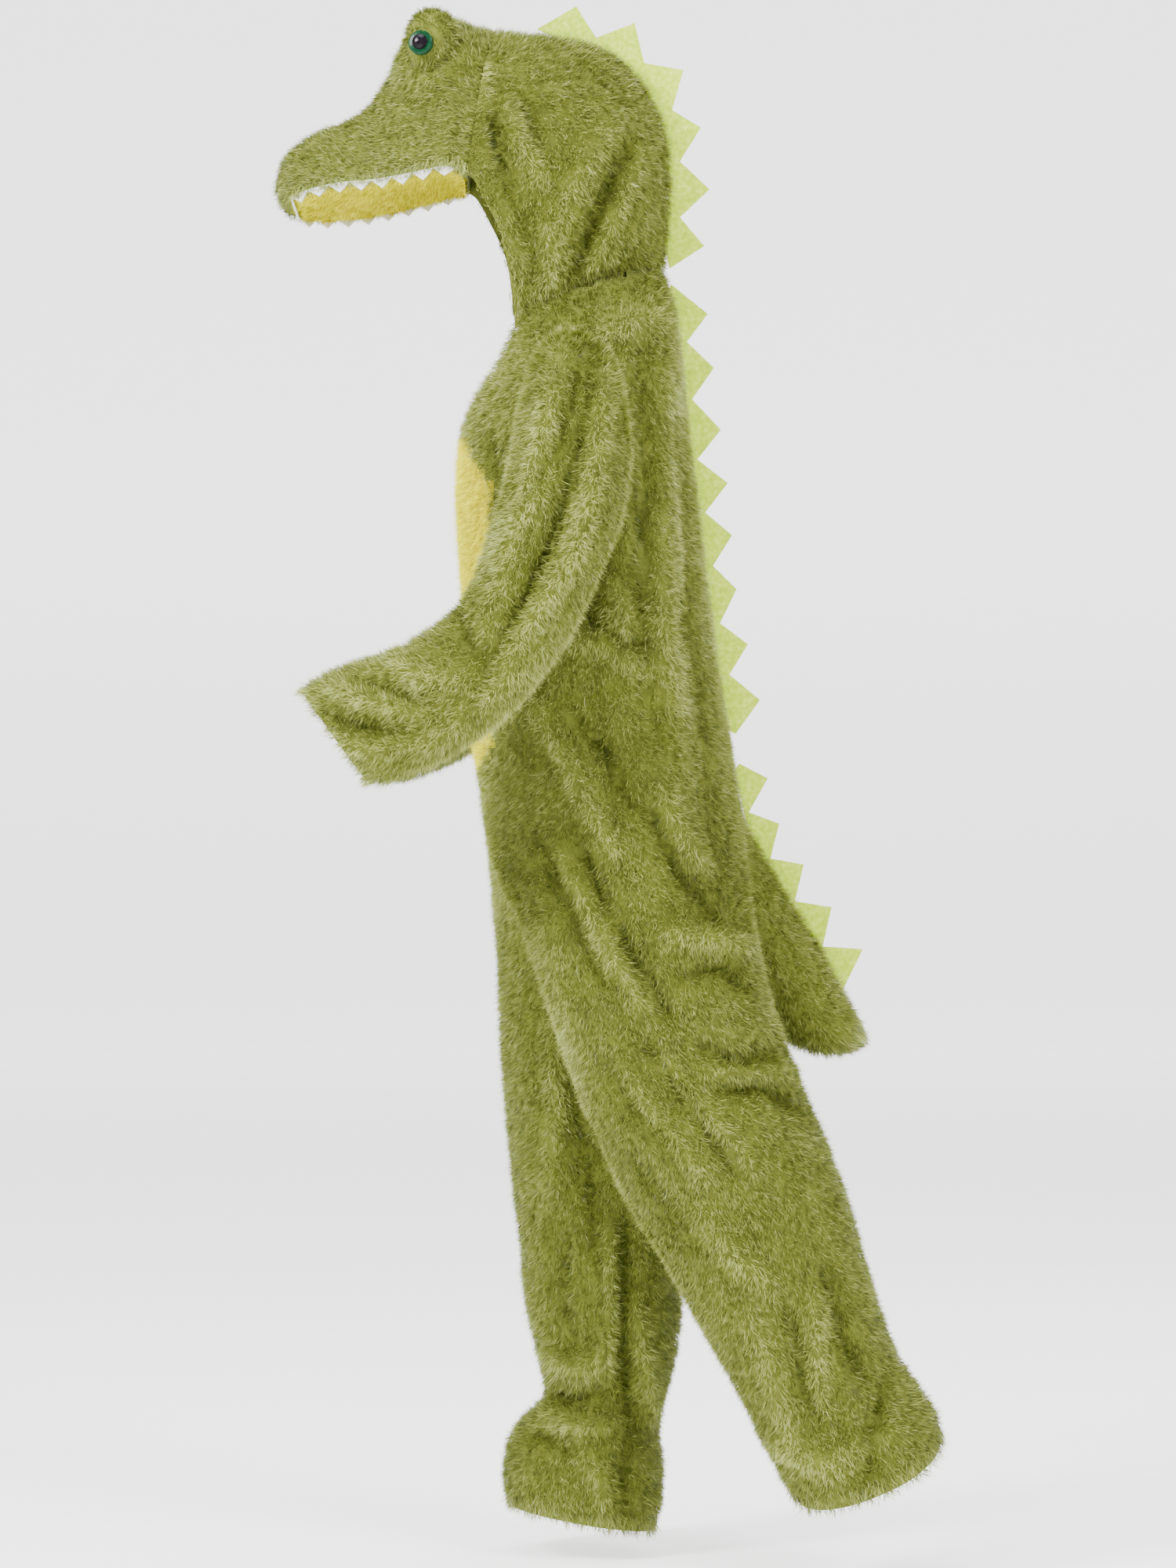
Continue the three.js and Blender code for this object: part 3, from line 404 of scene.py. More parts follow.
SNOUT = table("lip_y lip_z top_y top_z wide square roll", [
    [-152, 153, -122, 332, 98, 2.2, 0], [-170, 158, -160, 334, 96, 2.2, 3],
    [-192, 153, -190, 328, 92, 2.1, 4.5], [-214, 148, -221, 305, 86, 2.1, 5.5],
    [-236, 143, -246, 272, 78, 2.1, 7.5], [-258, 139, -266, 245, 71, 2.2, 9.5],
    [-282, 136, -296, 226, 65, 2.3, 12], [-308, 133, -320, 217, 60, 2.4, 13],
    [-330, 130, -345, 203, 52, 2.4, 13], [-347, 128, -362, 187, 41, 2.4, 13],
    [-358, 126, -370, 168, 27, 2.2, 13], [-363, 125, -372, 152, 14, 2.0, 12],
])
TAIL = table("top_y top_z under_y under_z wide", [
    [120, -510, 90, -752, 44], [152, -552, 118, -776, 50], [176, -594, 142, -794, 54],
    [198, -634, 168, -808, 56], [222, -674, 194, -820, 55], [250, -716, 222, -836, 51],
    [278, -768, 250, -848, 42], [297, -800, 280, -848, 28], [306, -822, 297, -840, 12],
])
BELLY = table("z half", [
    [-518, 20], [-513, 50], [-503, 80], [-485, 101], [-455, 111], [-400, 116], [-330, 119],
    [-260, 121], [-215, 119], [-190, 113], [-168, 97], [-150, 72], [-139, 34],
])
NECKLINE = table("z half", [
    [-126, 6], [-114, 30], [-95, 49], [-63, 66], [-30, 77], [0, 82], [80, 84],
])
DOME = {"x": 50, "y": -190, "z": 306, "across": 38, "tall": 43, "deep": 36}
print("tables for torso, two legs, sleeve, hood, snout and tail")

# %% [markdown]
# ## Folds
#
# Loose plush falls in long folds: from the armhole to the hip, slanting over the seat and down each leg,
# and in short ones bunched over the ankle and in the elbow. Each row is three points of one fold in the
# side view, its half breadth, and how far it stands out, or in if negative. They were placed from the
# photo, and the hidden sides have folds of the same kind.

# %% Folds
TORSO_FOLDS = [
    [54, -50, 57, -210, 52, -362, 9, -11], [66, -240, 70, -350, 84, -450, 12, 8],
    [84, -120, 104, -300, 122, -480, 9, -9], [122, -470, 127, -570, 138, -650, 9, -8],
    [82, -70, 84, -200, 90, -330, 10, 6], [-10, -345, 20, -382, 52, -372, 8, -7],
    [-34, -376, 5, -374, 50, -410, 12, 8], [12, -300, 26, -340, 36, -372, 9, 6],
    [-32, -452, 5, -500, 36, -560, 9, -8], [-76, -445, -40, -505, 15, -610, 10, 8],
    [-86, -500, -82, -570, -60, -640, 15, -2], [48, -400, 58, -450, 72, -500, 9, -6],
    [66, -535, 92, -590, 130, -632, 10, 6], [60, -560, 98, -640, 138, -682, 11, -12],
    [30, -205, 6, -290, -24, -352, 12, -9], [-26, -40, 22, -16, 66, -4, 15, 8],
    [-128, -140, -120, -185, -108, -235, 8, -6],
]
LEG_FOLDS = {
    "left": [
        [-30, -596, 15, -690, 70, -786, 9, -10], [-42, -618, 4, -705, 45, -780, 10, 8],
        [-62, -620, -27, -700, 0, -756, 9, -7], [-70, -700, -40, -800, -10, -900, 12, 5],
        [90, -745, 140, -738, 168, -762, 9, -8], [80, -700, 120, -705, 160, -715, 11, 8],
        [110, -822, 150, -842, 192, -832, 10, -8], [120, -852, 170, -857, 215, -858, 9, 6],
        [140, -873, 190, -870, 226, -897, 11, -10], [5, -842, 35, -892, 88, -945, 8, -8],
        [48, -822, 95, -885, 154, -964, 8, -8], [20, -850, 65, -915, 118, -975, 9, 7],
        [70, -845, 120, -905, 170, -960, 10, 6], [18, -940, 60, -992, 100, -1052, 9, -6],
        [110, -1010, 150, -1060, 190, -1085, 12, 6], [255, -1075, 276, -1140, 302, -1184, 11, -8],
        [210, -1115, 228, -1190, 255, -1248, 9, -7], [242, -1096, 240, -1170, 248, -1236, 11, 7],
        [324, -1186, 302, -1240, 297, -1280, 10, -8], [190, -1262, 250, -1272, 320, -1236, 14, 7],
        [160, -1120, 190, -1190, 214, -1262, 12, 5],
    ],
    "right": [
        [-70, -560, -20, -700, 60, -800, 14, -9], [-40, -700, 0, -900, 20, -1080, 16, 7],
        [20, -740, 50, -900, 60, -1100, 14, -8], [-60, -1080, 0, -1140, 70, -1170, 15, 7],
        [-60, -1190, 10, -1205, 80, -1190, 12, -8], [-70, -1258, 0, -1268, 68, -1270, 12, -10],
        [-90, -1300, -20, -1310, 60, -1330, 14, 8],
    ],
}
INNER_FOLDS = {
    "right": [
        [31, -1040, 24, -1160, 44, -1282, 9, -10], [14, -1050, 14, -1140, 6, -1214, 9, 8],
        [42, -1130, 56, -1220, 68, -1268, 9, 7], [-66, -1196, -24, -1212, 4, -1190, 10, 7],
        [-78, -1238, -34, -1246, 0, -1232, 9, -8], [-60, -1262, -24, -1276, 14, -1268, 10, 7],
        [-84, -1290, -64, -1288, -44, -1296, 9, -7], [-58, -790, -50, -900, -60, -1010, 12, 6],
        [-30, -860, -18, -960, -6, -1060, 10, -6], [-40, -1060, -46, -1120, -34, -1180, 10, -6],
        [-20, -1310, 0, -1336, 8, -1366, 11, 6], [34, -1300, 30, -1330, 38, -1372, 10, -6],
    ],
    "left": [
        [20, -800, 60, -900, 90, -1000, 14, -8], [-20, -830, 30, -950, 60, -1040, 12, 7],
        [110, -860, 150, -960, 170, -1060, 14, 7], [120, -1040, 190, -1120, 270, -1160, 12, -8],
        [150, -1150, 230, -1200, 310, -1190, 12, 8], [190, -1250, 250, -1262, 330, -1226, 12, -8],
    ],
}
SLEEVE_FOLDS = [
    [4, -104, -50, -262, -140, -458, 10, -11], [10, -130, -30, -290, -128, -432, 12, 9],
    [-20, -112, -50, -170, -88, -232, 9, -8], [-48, -120, -72, -220, -120, -330, 12, 8],
    [28, -130, 35, -170, 26, -225, 9, -6], [-60, -150, -88, -230, -130, -300, 10, 6],
    [-302, -453, -262, -470, -220, -480, 8, -9], [-292, -407, -252, -421, -198, -444, 8, -7],
    [-288, -430, -245, -447, -188, -460, 9, 7], [-280, -492, -240, -500, -190, -494, 10, 6],
    [-160, -344, -150, -372, -128, -392, 9, -7], [-230, -392, -196, -420, -150, -420, 11, 6],
    [-60, -390, -110, -430, -170, -486, 10, 6],
]
HOOD_FOLDS = [
    [38, 196, 8, 125, -26, 44, 9, -12], [50, 182, 26, 126, -8, 50, 10, 9],
    [52, 92, 22, 54, -34, 8, 9, -6], [60, 120, 40, 84, 10, 52, 10, 6],
    [-124, 240, -116, 176, -88, 84, 8, -9], [-88, 100, -78, 60, -84, 24, 9, -7],
    [-60, 90, -52, 50, -60, 20, 11, 6], [20, 210, -20, 150, -46, 90, 14, 6],
    [-100, 262, -80, 230, -66, 190, 12, -5], [-40, 300, 0, 278, 30, 246, 12, -5],
    [-140, 300, -134, 262, -124, 226, 9, 7], [-106, 236, -92, 190, -64, 150, 10, 6],
]
fold_rows = [TORSO_FOLDS, SLEEVE_FOLDS, HOOD_FOLDS, *LEG_FOLDS.values(), *INNER_FOLDS.values()]
print(sum(map(len, fold_rows)), "folds")


def raised(folds, y, z):
    """How far folds lift the cloth at (y, z) in the side view, in mm.

    A ridge adds 1.5 height * exp(-(distance / 1.15 breadth)^2), and a trough, which is a narrow crease
    between full folds, 2 depth * exp(-distance / breadth). A sine fades both along their lines.
    """
    height = np.zeros(np.broadcast(y, z).shape)
    for y1, z1, y2, z2, y3, z3, breadth, tall in folds:
        nearest = np.full(height.shape, np.inf)
        fade = np.ones(height.shape)
        for i, (ay, az, by, bz) in enumerate([(y1, z1, y2, z2), (y2, z2, y3, z3)]):
            t = ((y - ay) * (by - ay) + (z - az) * (bz - az)) / ((by - ay) ** 2 + (bz - az) ** 2)
            t = np.clip(t, 0, 1)
            away = np.hypot(y - ay - t * (by - ay), z - az - t * (bz - az))
            closer = away < nearest
            nearest = np.where(closer, away, nearest)
            fade = np.where(closer, np.sin(np.pi * (0.12 + 0.38 * (i + t))) ** 0.7, fade)
        if tall > 0:
            height += 1.5 * tall * fade * np.exp(-((nearest / (1.15 * breadth)) ** 2))
        else:
            height += 2.0 * tall * fade * np.exp(-nearest / breadth)
    return height


def power(value, exponent):
    """The value's size raised to the exponent, with its sign kept."""
    return np.sign(value) * np.abs(value) ** exponent


def ease(value, low, high):
    """0 below low, 1 above high, and a smooth S between."""
    t = np.clip((value - low) / (high - low), 0, 1)
    return t * t * (3 - 2 * t)


# %% [markdown]
# ## Surfaces
#
# Each garment part is a function from a grid to points: rows run down the nap, columns run round the
# section. An inset moves the whole surface in from the solids' skin, and the pile fills that space.
# Each function gives the points and how far folds lift the cloth there, which the pile's tone reads as
# painted shade in the troughs and painted light on the ridges.

# %% Body surface
CENTRE_GAP = 0.2  # mm from the centre plane to a panel's edge
FOLD_START, FOLD_FULL = 15, 70  # mm from the centre plane, where folds begin and where they are full
CROTCH = -740  # mm, above which the inner side has no folds


def side_middle(r):
    """The middle of each section in the side view."""
    return (r["front_y"] + r["back_y"]) / 2, (r["front_z"] + r["back_z"]) / 2


def body_rows(side, count):
    """Torso and leg sections of one side as one table."""
    z = TORSO["z"]
    torso = {
        "front_y": TORSO["front"], "front_z": z, "back_y": TORSO["back"], "back_z": z,
        "middle": np.where(z < -560, 10.0, 0.0), "outer": TORSO["side"], "inner": np.full(len(z), -60.0),
        "square": TORSO["square"], "sag": np.zeros(len(z)),
    }
    leg = table(LEG_NAMES, LEG_ROWS[side])
    rows = {name: np.concatenate([torso[name], leg[name]]) for name in torso}
    return smooth(rows, count, side_middle)


def body_surface(side, down, turn, inset):
    """Rounded squares: outward = cos^(2/p) of the turn and along = sin^(2/p), each times its reach.

    The turn runs from the outer side (0) to the back (90), inner side and front. Points that would
    pass the centre plane stop on it.
    """
    r = as_columns(body_rows(side, down))
    outward, along = power(np.cos(turn), 2 / r["square"]), power(np.sin(turn), 2 / r["square"])
    depth_y, depth_z = (r["back_y"] - r["front_y"]) / 2, (r["back_z"] - r["front_z"]) / 2
    depth = np.hypot(depth_y, depth_z)
    reach = np.where(outward > 0, r["outer"] - r["middle"], r["middle"] - r["inner"])
    y, z = r["front_y"] + (1 + along) * depth_y, r["front_z"] + (1 + along) * depth_z
    away = r["middle"] + outward * reach
    outer_fade = ease(away, FOLD_START, FOLD_FULL) * (outward > 0)
    inner_fade = ease(-outward, 0.15, 0.6) * (z < CROTCH)
    lift = raised(TORSO_FOLDS + LEG_FOLDS[side], y, z) * outer_fade
    lift = lift + raised(INNER_FOLDS[side], y, z) * inner_fade - inset
    tilt_x, tilt_along = outward / reach, along / depth
    long = np.hypot(tilt_x, tilt_along)
    x = away + tilt_x / long * lift
    slide = tilt_along / long * lift / depth
    hang = np.where(outward > 0, r["sag"] * outward, 0)
    points = [np.maximum(x, CENTRE_GAP), y + slide * depth_y, z + slide * depth_z - hang]
    return np.stack(points, -1), lift + inset


# %% Sleeve surface
SLEEVE_ROUND = 0.92  # exponent of its ovals, a little fuller than a plain one
SLEEVE_SUNK = 11  # mm that its first row lies below its solid's skin
SUNK_UNTIL = 0.17  # share of the rows after which none is sunk


def sleeve_middle(r):
    """The side view's middle, moved by half the distance out, so that rows also part on the shoulder."""
    y, z = side_middle(r)
    return y + r["middle"] * 0.5, z


def sleeve_surface(down, turn, inset):
    """Ovals between the front and back points, whose other axis leans into the armhole.

    The first rows sink a little, so that the sleeve comes out of the body without a step.
    """
    sunk = SLEEVE_SUNK * (1 - ease(np.linspace(0, 1, down), 0, SUNK_UNTIL))[:, None]
    r = as_columns(smooth(SLEEVE, down, sleeve_middle))
    depth_y, depth_z = (r["back_y"] - r["front_y"]) / 2, (r["back_z"] - r["front_z"]) / 2
    out, along = power(np.cos(turn), SLEEVE_ROUND), power(np.sin(turn), SLEEVE_ROUND)
    y, z = r["front_y"] + (1 + along) * depth_y, r["front_z"] + (1 + along) * depth_z
    lift = raised(SLEEVE_FOLDS, y, z) * np.maximum(out, 0) ** 0.5 - inset - sunk
    across = out * r["across"] + np.cos(turn) * lift
    slide = np.sin(turn) * lift / np.hypot(depth_y, depth_z)
    lean = np.radians(r["lean"])
    x = r["middle"] + np.cos(lean) * across
    points = [x, y + slide * depth_y, z + slide * depth_z + np.sin(lean) * across]
    return np.stack(points, -1), lift + inset + sunk


# %% Hood surface
def hood_surface(down, share, inset):
    """Arches from the front edge (share 0) over the side to the crown seam (share 1).

    A point lies wide * cos(angle) out, and climbs from edge to crown as sin(angle) grows.
    """
    rows = smooth(HOOD, down, lambda r: (
        0.2 * (r["crown_y"] + r["edge_y"]) + 0.6 * r["crown_y"], r["crown_z"]))
    r = as_columns(rows)
    low = np.radians(-r["tuck"])
    angle = low + (np.pi / 2 - low) * share
    rise = (np.sin(angle) - np.sin(low)) / (1 - np.sin(low))
    tall_y, tall_z = r["crown_y"] - r["edge_y"], r["crown_z"] - r["edge_z"]
    tall = np.hypot(tall_y, tall_z)
    y, z = r["edge_y"] + rise * tall_y, r["edge_z"] + rise * tall_z
    lift = raised(HOOD_FOLDS, y, z) * np.cos(angle) * ease(rise, 0.04, 0.2) - inset
    climb = np.maximum(np.sin(angle), 0) * lift / tall
    x = r["wide"] * np.cos(angle) + np.cos(angle) * lift
    points = [np.maximum(x, CENTRE_GAP), y + climb * tall_y, z + climb * tall_z]
    return np.stack(points, -1), lift + inset


# %% Snout and palate surfaces
UNDER_RISE = 0.07  # of the half width, which the underside rises between the lips
PALATE_RIM = 4.8  # mm from a lip to the palate's edge
PALATE_SKIN = 6.5  # mm from the snout's underside down to the palate's outer skin
TIP_ROWS = 5  # rows at the tip that the palate leaves free


def snout_rows(count):
    """Snout sections from the brow to the tip."""
    return smooth(SNOUT, count, lambda r: (r["lip_y"] + r["top_y"], r["top_z"]))


def snout_place(r, across, up):
    """A point across and up from the middle of the lips, in a section rolled about that middle."""
    tall_y, tall_z = r["top_y"] - r["lip_y"], r["top_z"] - r["lip_z"]
    tall = np.hypot(tall_y, tall_z)
    roll = np.radians(r["roll"])
    x = across * np.cos(roll) - up * np.sin(roll)
    rise = (up * np.cos(roll) + across * np.sin(roll)) / tall
    return np.stack([x, r["lip_y"] + rise * tall_y, r["lip_z"] + rise * tall_z], -1)


def snout_surface(down, share, inset):
    """An arch from the left lip (share 0) over the nose (0.5) to the right lip (1)."""
    r = as_columns(snout_rows(down))
    tall = np.hypot(r["top_y"] - r["lip_y"], r["top_z"] - r["lip_z"])
    angle = np.pi * share
    across = power(np.cos(angle), 2 / r["square"]) * (r["wide"] - inset)
    return snout_place(r, across, np.abs(np.sin(angle)) ** (2 / r["square"]) * (tall - inset)), 0 * across


def under_rise(wide, share):
    """How far the underside rises at a share of the way across: a parabola, highest midway."""
    return UNDER_RISE * wide * (1 - (2 * share - 1) ** 2)


def palate_surface(down, share, inset):
    """The underside, from the right lip to the left one, rising a little between them.

    It ends short of the tip, behind the teeth that cross there.
    """
    rows = as_columns(snout_rows(down + 1 + TIP_ROWS))
    r = {name: column[1:-TIP_ROWS] for name, column in rows.items()}
    across = (2 * share - 1) * (r["wide"] - PALATE_RIM)
    drop = PALATE_SKIN - inset
    return snout_place(r, across, under_rise(r["wide"], share) - drop), 0 * across


# %% Tail and dome surfaces
def tail_surface(down, turn, inset):
    """Ovals between the top and under points."""
    r = as_columns(smooth(TAIL, down, lambda r: (r["top_y"], r["top_z"])))
    y, z = (r["top_y"] + r["under_y"]) / 2, (r["top_z"] + r["under_z"]) / 2
    half_y, half_z = (r["top_y"] - r["under_y"]) / 2, (r["top_z"] - r["under_z"]) / 2
    up = np.sin(turn) * (1 - inset / np.hypot(half_y, half_z))
    x = (r["wide"] - inset) * np.cos(turn)
    return np.stack([x, y + up * half_y, z + up * half_z], -1), 0 * x


def dome_size(inset):
    """The dome's half sizes along X, Y and Z."""
    return np.array([DOME["across"], DOME["deep"], DOME["tall"]]) - inset


def dome_surface(down, turn, inset):
    """An upright ball on the brow, rows from its top down, which stop just short of both poles."""
    polar = np.linspace(0.02, np.pi * 0.98, down)[:, None]
    ball = [np.sin(polar) * np.cos(turn), np.sin(polar) * np.sin(turn), np.cos(polar) + 0 * turn]
    points = np.stack([size * part for size, part in zip(dome_size(inset), ball)], -1)
    return points + [DOME["x"], DOME["y"], DOME["z"]], 0 * points[..., 0]


hem = body_surface("left", 2, np.linspace(0, 2 * np.pi, 60), 0.0)[0][-1]
print("left hem:", round(float(np.linalg.norm(np.diff(hem, axis=0), axis=1).sum())), "mm round")

# %% [markdown]
# ## Where a panel ends
#
# The neckline, the armholes, the belly oval and the neck seam are cuts through those surfaces. Each
# is a test on points in millimetres, so the backing and the pile can obey the same cut, one of them
# with a small gap.

# %% Cuts
NECKLINE_FRONT, BELLY_FRONT = -20, -40  # mm along Y, in front of which those cuts act
ARMHOLE = {"y": -29, "z": -105, "from_x": 100}
SEAT = {
    "left": table("down back", [[500, 150], [640, 168], [703, 172], [791, 190], [900, 230]]),
    "right": table("down back", [[500, 150], [645, 158], [696, 142], [780, 128], [900, 118]]),
}


def above_neck(p, gap):
    """Above the slanting plane of the neck seam, once that is lowered by the gap."""
    slope = (HOOD["crown_z"][0] - HOOD["edge_z"][0]) / (HOOD["crown_y"][0] - HOOD["edge_y"][0])
    return p[..., 2] > HOOD["edge_z"][0] + slope * (p[..., 1] - HOOD["edge_y"][0]) - gap


def in_neckline(p, gap=0.0):
    """Inside the scoop at the front of the neck, grown by the gap."""
    half = np.interp(p[..., 2] + gap, NECKLINE["z"], NECKLINE["half"], left=-gap)
    return (p[..., 1] < NECKLINE_FRONT) & (np.abs(p[..., 0]) < half + gap)


def in_belly(p):
    """Inside the yellow oval."""
    half = np.interp(p[..., 2], BELLY["z"], BELLY["half"], left=0, right=0)
    return (p[..., 1] < BELLY_FRONT) & (np.abs(p[..., 0]) < half)


def in_armhole(p, wide, tall):
    """Inside an oval of the side view, which reaches wide along Y and tall along Z."""
    oval = ((p[..., 1] - ARMHOLE["y"]) / wide) ** 2 + ((p[..., 2] - ARMHOLE["z"]) / tall) ** 2
    return (oval < 1) & (np.abs(p[..., 0]) > ARMHOLE["from_x"])


def in_torso(p, inset):
    """Inside the torso's rounded square at the point's height."""
    z = p[..., 2]
    order = np.argsort(TORSO["z"])
    front, back, side, square = (
        np.interp(z, TORSO["z"][order], TORSO[name][order]) for name in ("front", "back", "side", "square")
    )
    across = np.abs(p[..., 0]) / (side - inset)
    along = np.abs(2 * p[..., 1] - front - back) / (back - front - 2 * inset)
    return across**square + along**square < 1


def in_seat(p, inset):
    """Inside the back of the hips, where the tail is sewn on, rounded in towards the centre seam."""
    left, right = (
        np.interp(-p[..., 2], SEAT[side]["down"], SEAT[side]["back"]) for side in ("left", "right")
    )
    rounding = 28 * (1 - np.clip(np.abs(p[..., 0]) / 60, 0, 1)) * (p[..., 2] < -640)
    return p[..., 1] < np.where(p[..., 0] > 0, left, right) - rounding - inset


# %% [markdown]
# ## Backing and pile
#
# A strand is one slim triangle: two points at its root and one at its tip. Strands grow in tufts, as
# real pile clumps, so a tuft's centre is drawn first, by area, and its strands lean together. The
# nap runs down the garment, turned a little by smooth noise, which gives the brushed patches. A mesh
# is used rather than curves, because a mesh is what is kept of the suit in the end.


# %% Noise on points
def lattice_noise(points, size, seed):
    """Smooth noise from 0 to 1: random values at the corners of cells, blended between them."""
    values = np.random.default_rng(seed).random((32, 32, 32))
    cell = points / size
    low = np.floor(cell).astype(int)
    t = cell - low
    t = t * t * (3 - 2 * t)
    total = 0
    for corner in range(8):
        step = np.array([corner & 1, corner >> 1 & 1, corner >> 2 & 1])
        weight = np.prod(np.where(step, t, 1 - t), -1)
        i, j, k = np.moveaxis((low + step) % 32, -1, 0)
        total = total + weight * values[i, j, k]
    return total


def unit(vectors):
    """Each vector divided by its length."""
    return vectors / np.maximum(np.linalg.norm(vectors, axis=-1, keepdims=True), 1e-9)


# %% Backing
SHELL = 1.0  # mm thick


def outward_normals(points, closed):
    """Each grid point's normal, the cross product of the steps down and across, and its nap, down."""
    if closed:
        across = np.roll(points, -1, 1) - np.roll(points, 1, 1)
    else:
        across = np.gradient(points, axis=1)
    down = np.gradient(points, axis=0)
    return unit(np.cross(down, across)), unit(down)


def dress(made, colour, layer):
    """Gives a piece its layer's finish and its plush's slot, and fixes it to the suit."""
    made.data.materials.append(FINISHES[f"{colour}_{layer}"])
    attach(made, "root")
    return made


def backing(name, points, keep, closed, colour):
    """A thin shell on the grid's kept faces, thickened inwards by Solidify."""
    rows, columns = points.shape[:2]
    faces = grid_faces(rows, columns, closed)
    flat = points.reshape(-1, 3)
    faces = faces[keep(flat[faces].mean(1))]
    used, packed = np.unique(faces, return_inverse=True)
    made = new_object(name, flat[used] * MM, packed.reshape(-1, 4))
    solid = made.modifiers.new("thickness", "SOLIDIFY")
    solid.thickness = SHELL * MM
    solid.offset = -1
    return dress(made, colour, "backing")


# %% Where tufts grow
DENSITY = 0.37  # strands for each square millimetre
STRANDS_A_TUFT = 5
HEM_ROWS = 6  # the grid's last rows, where strands lie flat and so hang past the edge


def plant(rng, points, lifts, keep, closed, share):
    """Tufts spread by area over the grid's faces, where keep allows them.

    A tuft's centre, normal, nap and lift are those of its face's corners, weighted by how near they
    are: (1-u)(1-v), u(1-v), uv and (1-u)v.
    """
    rows, columns = points.shape[:2]
    faces = grid_faces(rows, columns, closed)
    normals, naps = (v.reshape(-1, 3) for v in outward_normals(points, closed))
    corners = points.reshape(-1, 3)[faces]
    diagonals = np.cross(corners[:, 2] - corners[:, 0], corners[:, 3] - corners[:, 1])
    area = np.linalg.norm(diagonals, axis=-1) / 2
    drawn = int(area.sum() * DENSITY * share / STRANDS_A_TUFT)
    face = np.searchsorted(np.cumsum(area) / area.sum(), rng.random(drawn)).clip(0, len(area) - 1)
    u, v = rng.random((2, drawn))
    weights = np.stack([(1 - u) * (1 - v), u * (1 - v), u * v, (1 - u) * v], -1)[..., None]
    centre = (corners[face] * weights).sum(1)
    kept = keep(centre)
    face, weights, centre = face[kept], weights[kept], centre[kept]
    faces_a_row = columns if closed else columns - 1
    return {
        "centre": centre,
        "normal": unit((normals[faces[face]] * weights).sum(1)),
        "nap": unit((naps[faces[face]] * weights).sum(1)),
        "lift": (lifts.ravel()[faces[face]] * weights[..., 0]).sum(1),
        "at_hem": face // faces_a_row >= rows - HEM_ROWS,
    }


# %% How tufts and strands lie
PROUD = 0.16  # share of tufts that stand up
STRAY = 0.12  # share of strands that stand up alone
HEM_LEAN = 0.35  # of the usual angle from the cloth
LONGER = 0.35  # what a stray strand, and one at a hem, adds to its length
STRAND_HALF = (0.28, 0.50)  # mm, half a strand's width at its root


def comb(rng, tufts, seed, length, lean):
    """Turns each tuft's nap by smooth noise, and gives it a lean in radians and a length in mm."""
    centre, nap = tufts["centre"], tufts["nap"]
    count = len(centre)
    swirl = (lattice_noise(centre, 70, seed + 1) - 0.5) * 0.9
    swirl = swirl + (lattice_noise(centre, 18, seed + 2) - 0.5) * 0.5 + rng.normal(0, 0.15, count)
    side = np.cross(tufts["normal"], nap)
    tufts["nap"] = unit(nap * np.cos(swirl)[:, None] + side * np.sin(swirl)[:, None])
    uneven = 16 * (lattice_noise(centre, 30, seed + 3) - 0.5)
    steep = np.radians(lean + rng.normal(0, 7, count) + uneven)
    tufts["long"] = length * (0.85 + 0.3 * lattice_noise(centre, 22, seed + 4))
    tufts["proud"] = rng.random(count) < PROUD
    steep = np.where(tufts["at_hem"], steep * HEM_LEAN, steep)
    tufts["lean"] = steep + tufts["proud"] * np.radians(rng.uniform(4, 22, count))


def strands_on(rng, tufts):
    """Slim triangles: tip = start + long * (nap * cos(steep) + normal * sin(steep)).

    The start lies halfway from the strand's own root to its tuft's centre, so that tips draw together.
    """
    side = np.cross(tufts["normal"], tufts["nap"])[:, None]
    centre, normal, nap = (tufts[name][:, None] for name in ("centre", "normal", "nap"))
    shape = (len(centre), STRANDS_A_TUFT)
    root = centre + side * rng.normal(0, 2.1, (*shape, 1)) + nap * rng.normal(0, 2.6, (*shape, 1))
    long = tufts["long"][:, None] * rng.uniform(0.62, 1.12, shape)
    stray = rng.random(shape) < STRAY
    rise = rng.normal(0, 10, shape) + stray * rng.uniform(5, 30, shape)
    steep = tufts["lean"][:, None] + np.radians(rise)
    spread = rng.normal(0, 0.3, shape) + stray * rng.normal(0, 0.5, shape)
    long = long * (1 + LONGER * stray + LONGER * tufts["at_hem"][:, None])
    tip = (
        centre * 0.5 + root * 0.5
        + (nap + side * spread[..., None]) * (long * np.cos(steep))[..., None]
        + normal * (long * np.sin(steep))[..., None]
    )
    run = unit(tip - root)
    flatwise = unit(np.cross(np.broadcast_to(normal, run.shape), run))
    twist = rng.normal(0, 0.55, shape)[..., None]
    blade = flatwise * np.cos(twist) + np.cross(run, flatwise) * np.sin(twist)
    half = blade * rng.uniform(*STRAND_HALF, (*shape, 1))
    return np.stack([root - half, root + half, tip], 2), stray


# %% Tones and the finished pile
GLINT = 0.15  # share of strands that catch the light
SEEDS = iter(range(100, 2000, 20))  # one for each pile, in the order they are made


def painted_light_by_height(p):
    """Painted light and shade by height: tone raised over sleeves, back and hips, lowered down the legs
    and on the hood.
    """
    hips = ease(p[..., 2], -760, -440)
    hood = ease(p[..., 2], -20, 60)
    return 0.19 * (hips - 0.85 * hood) - 0.12


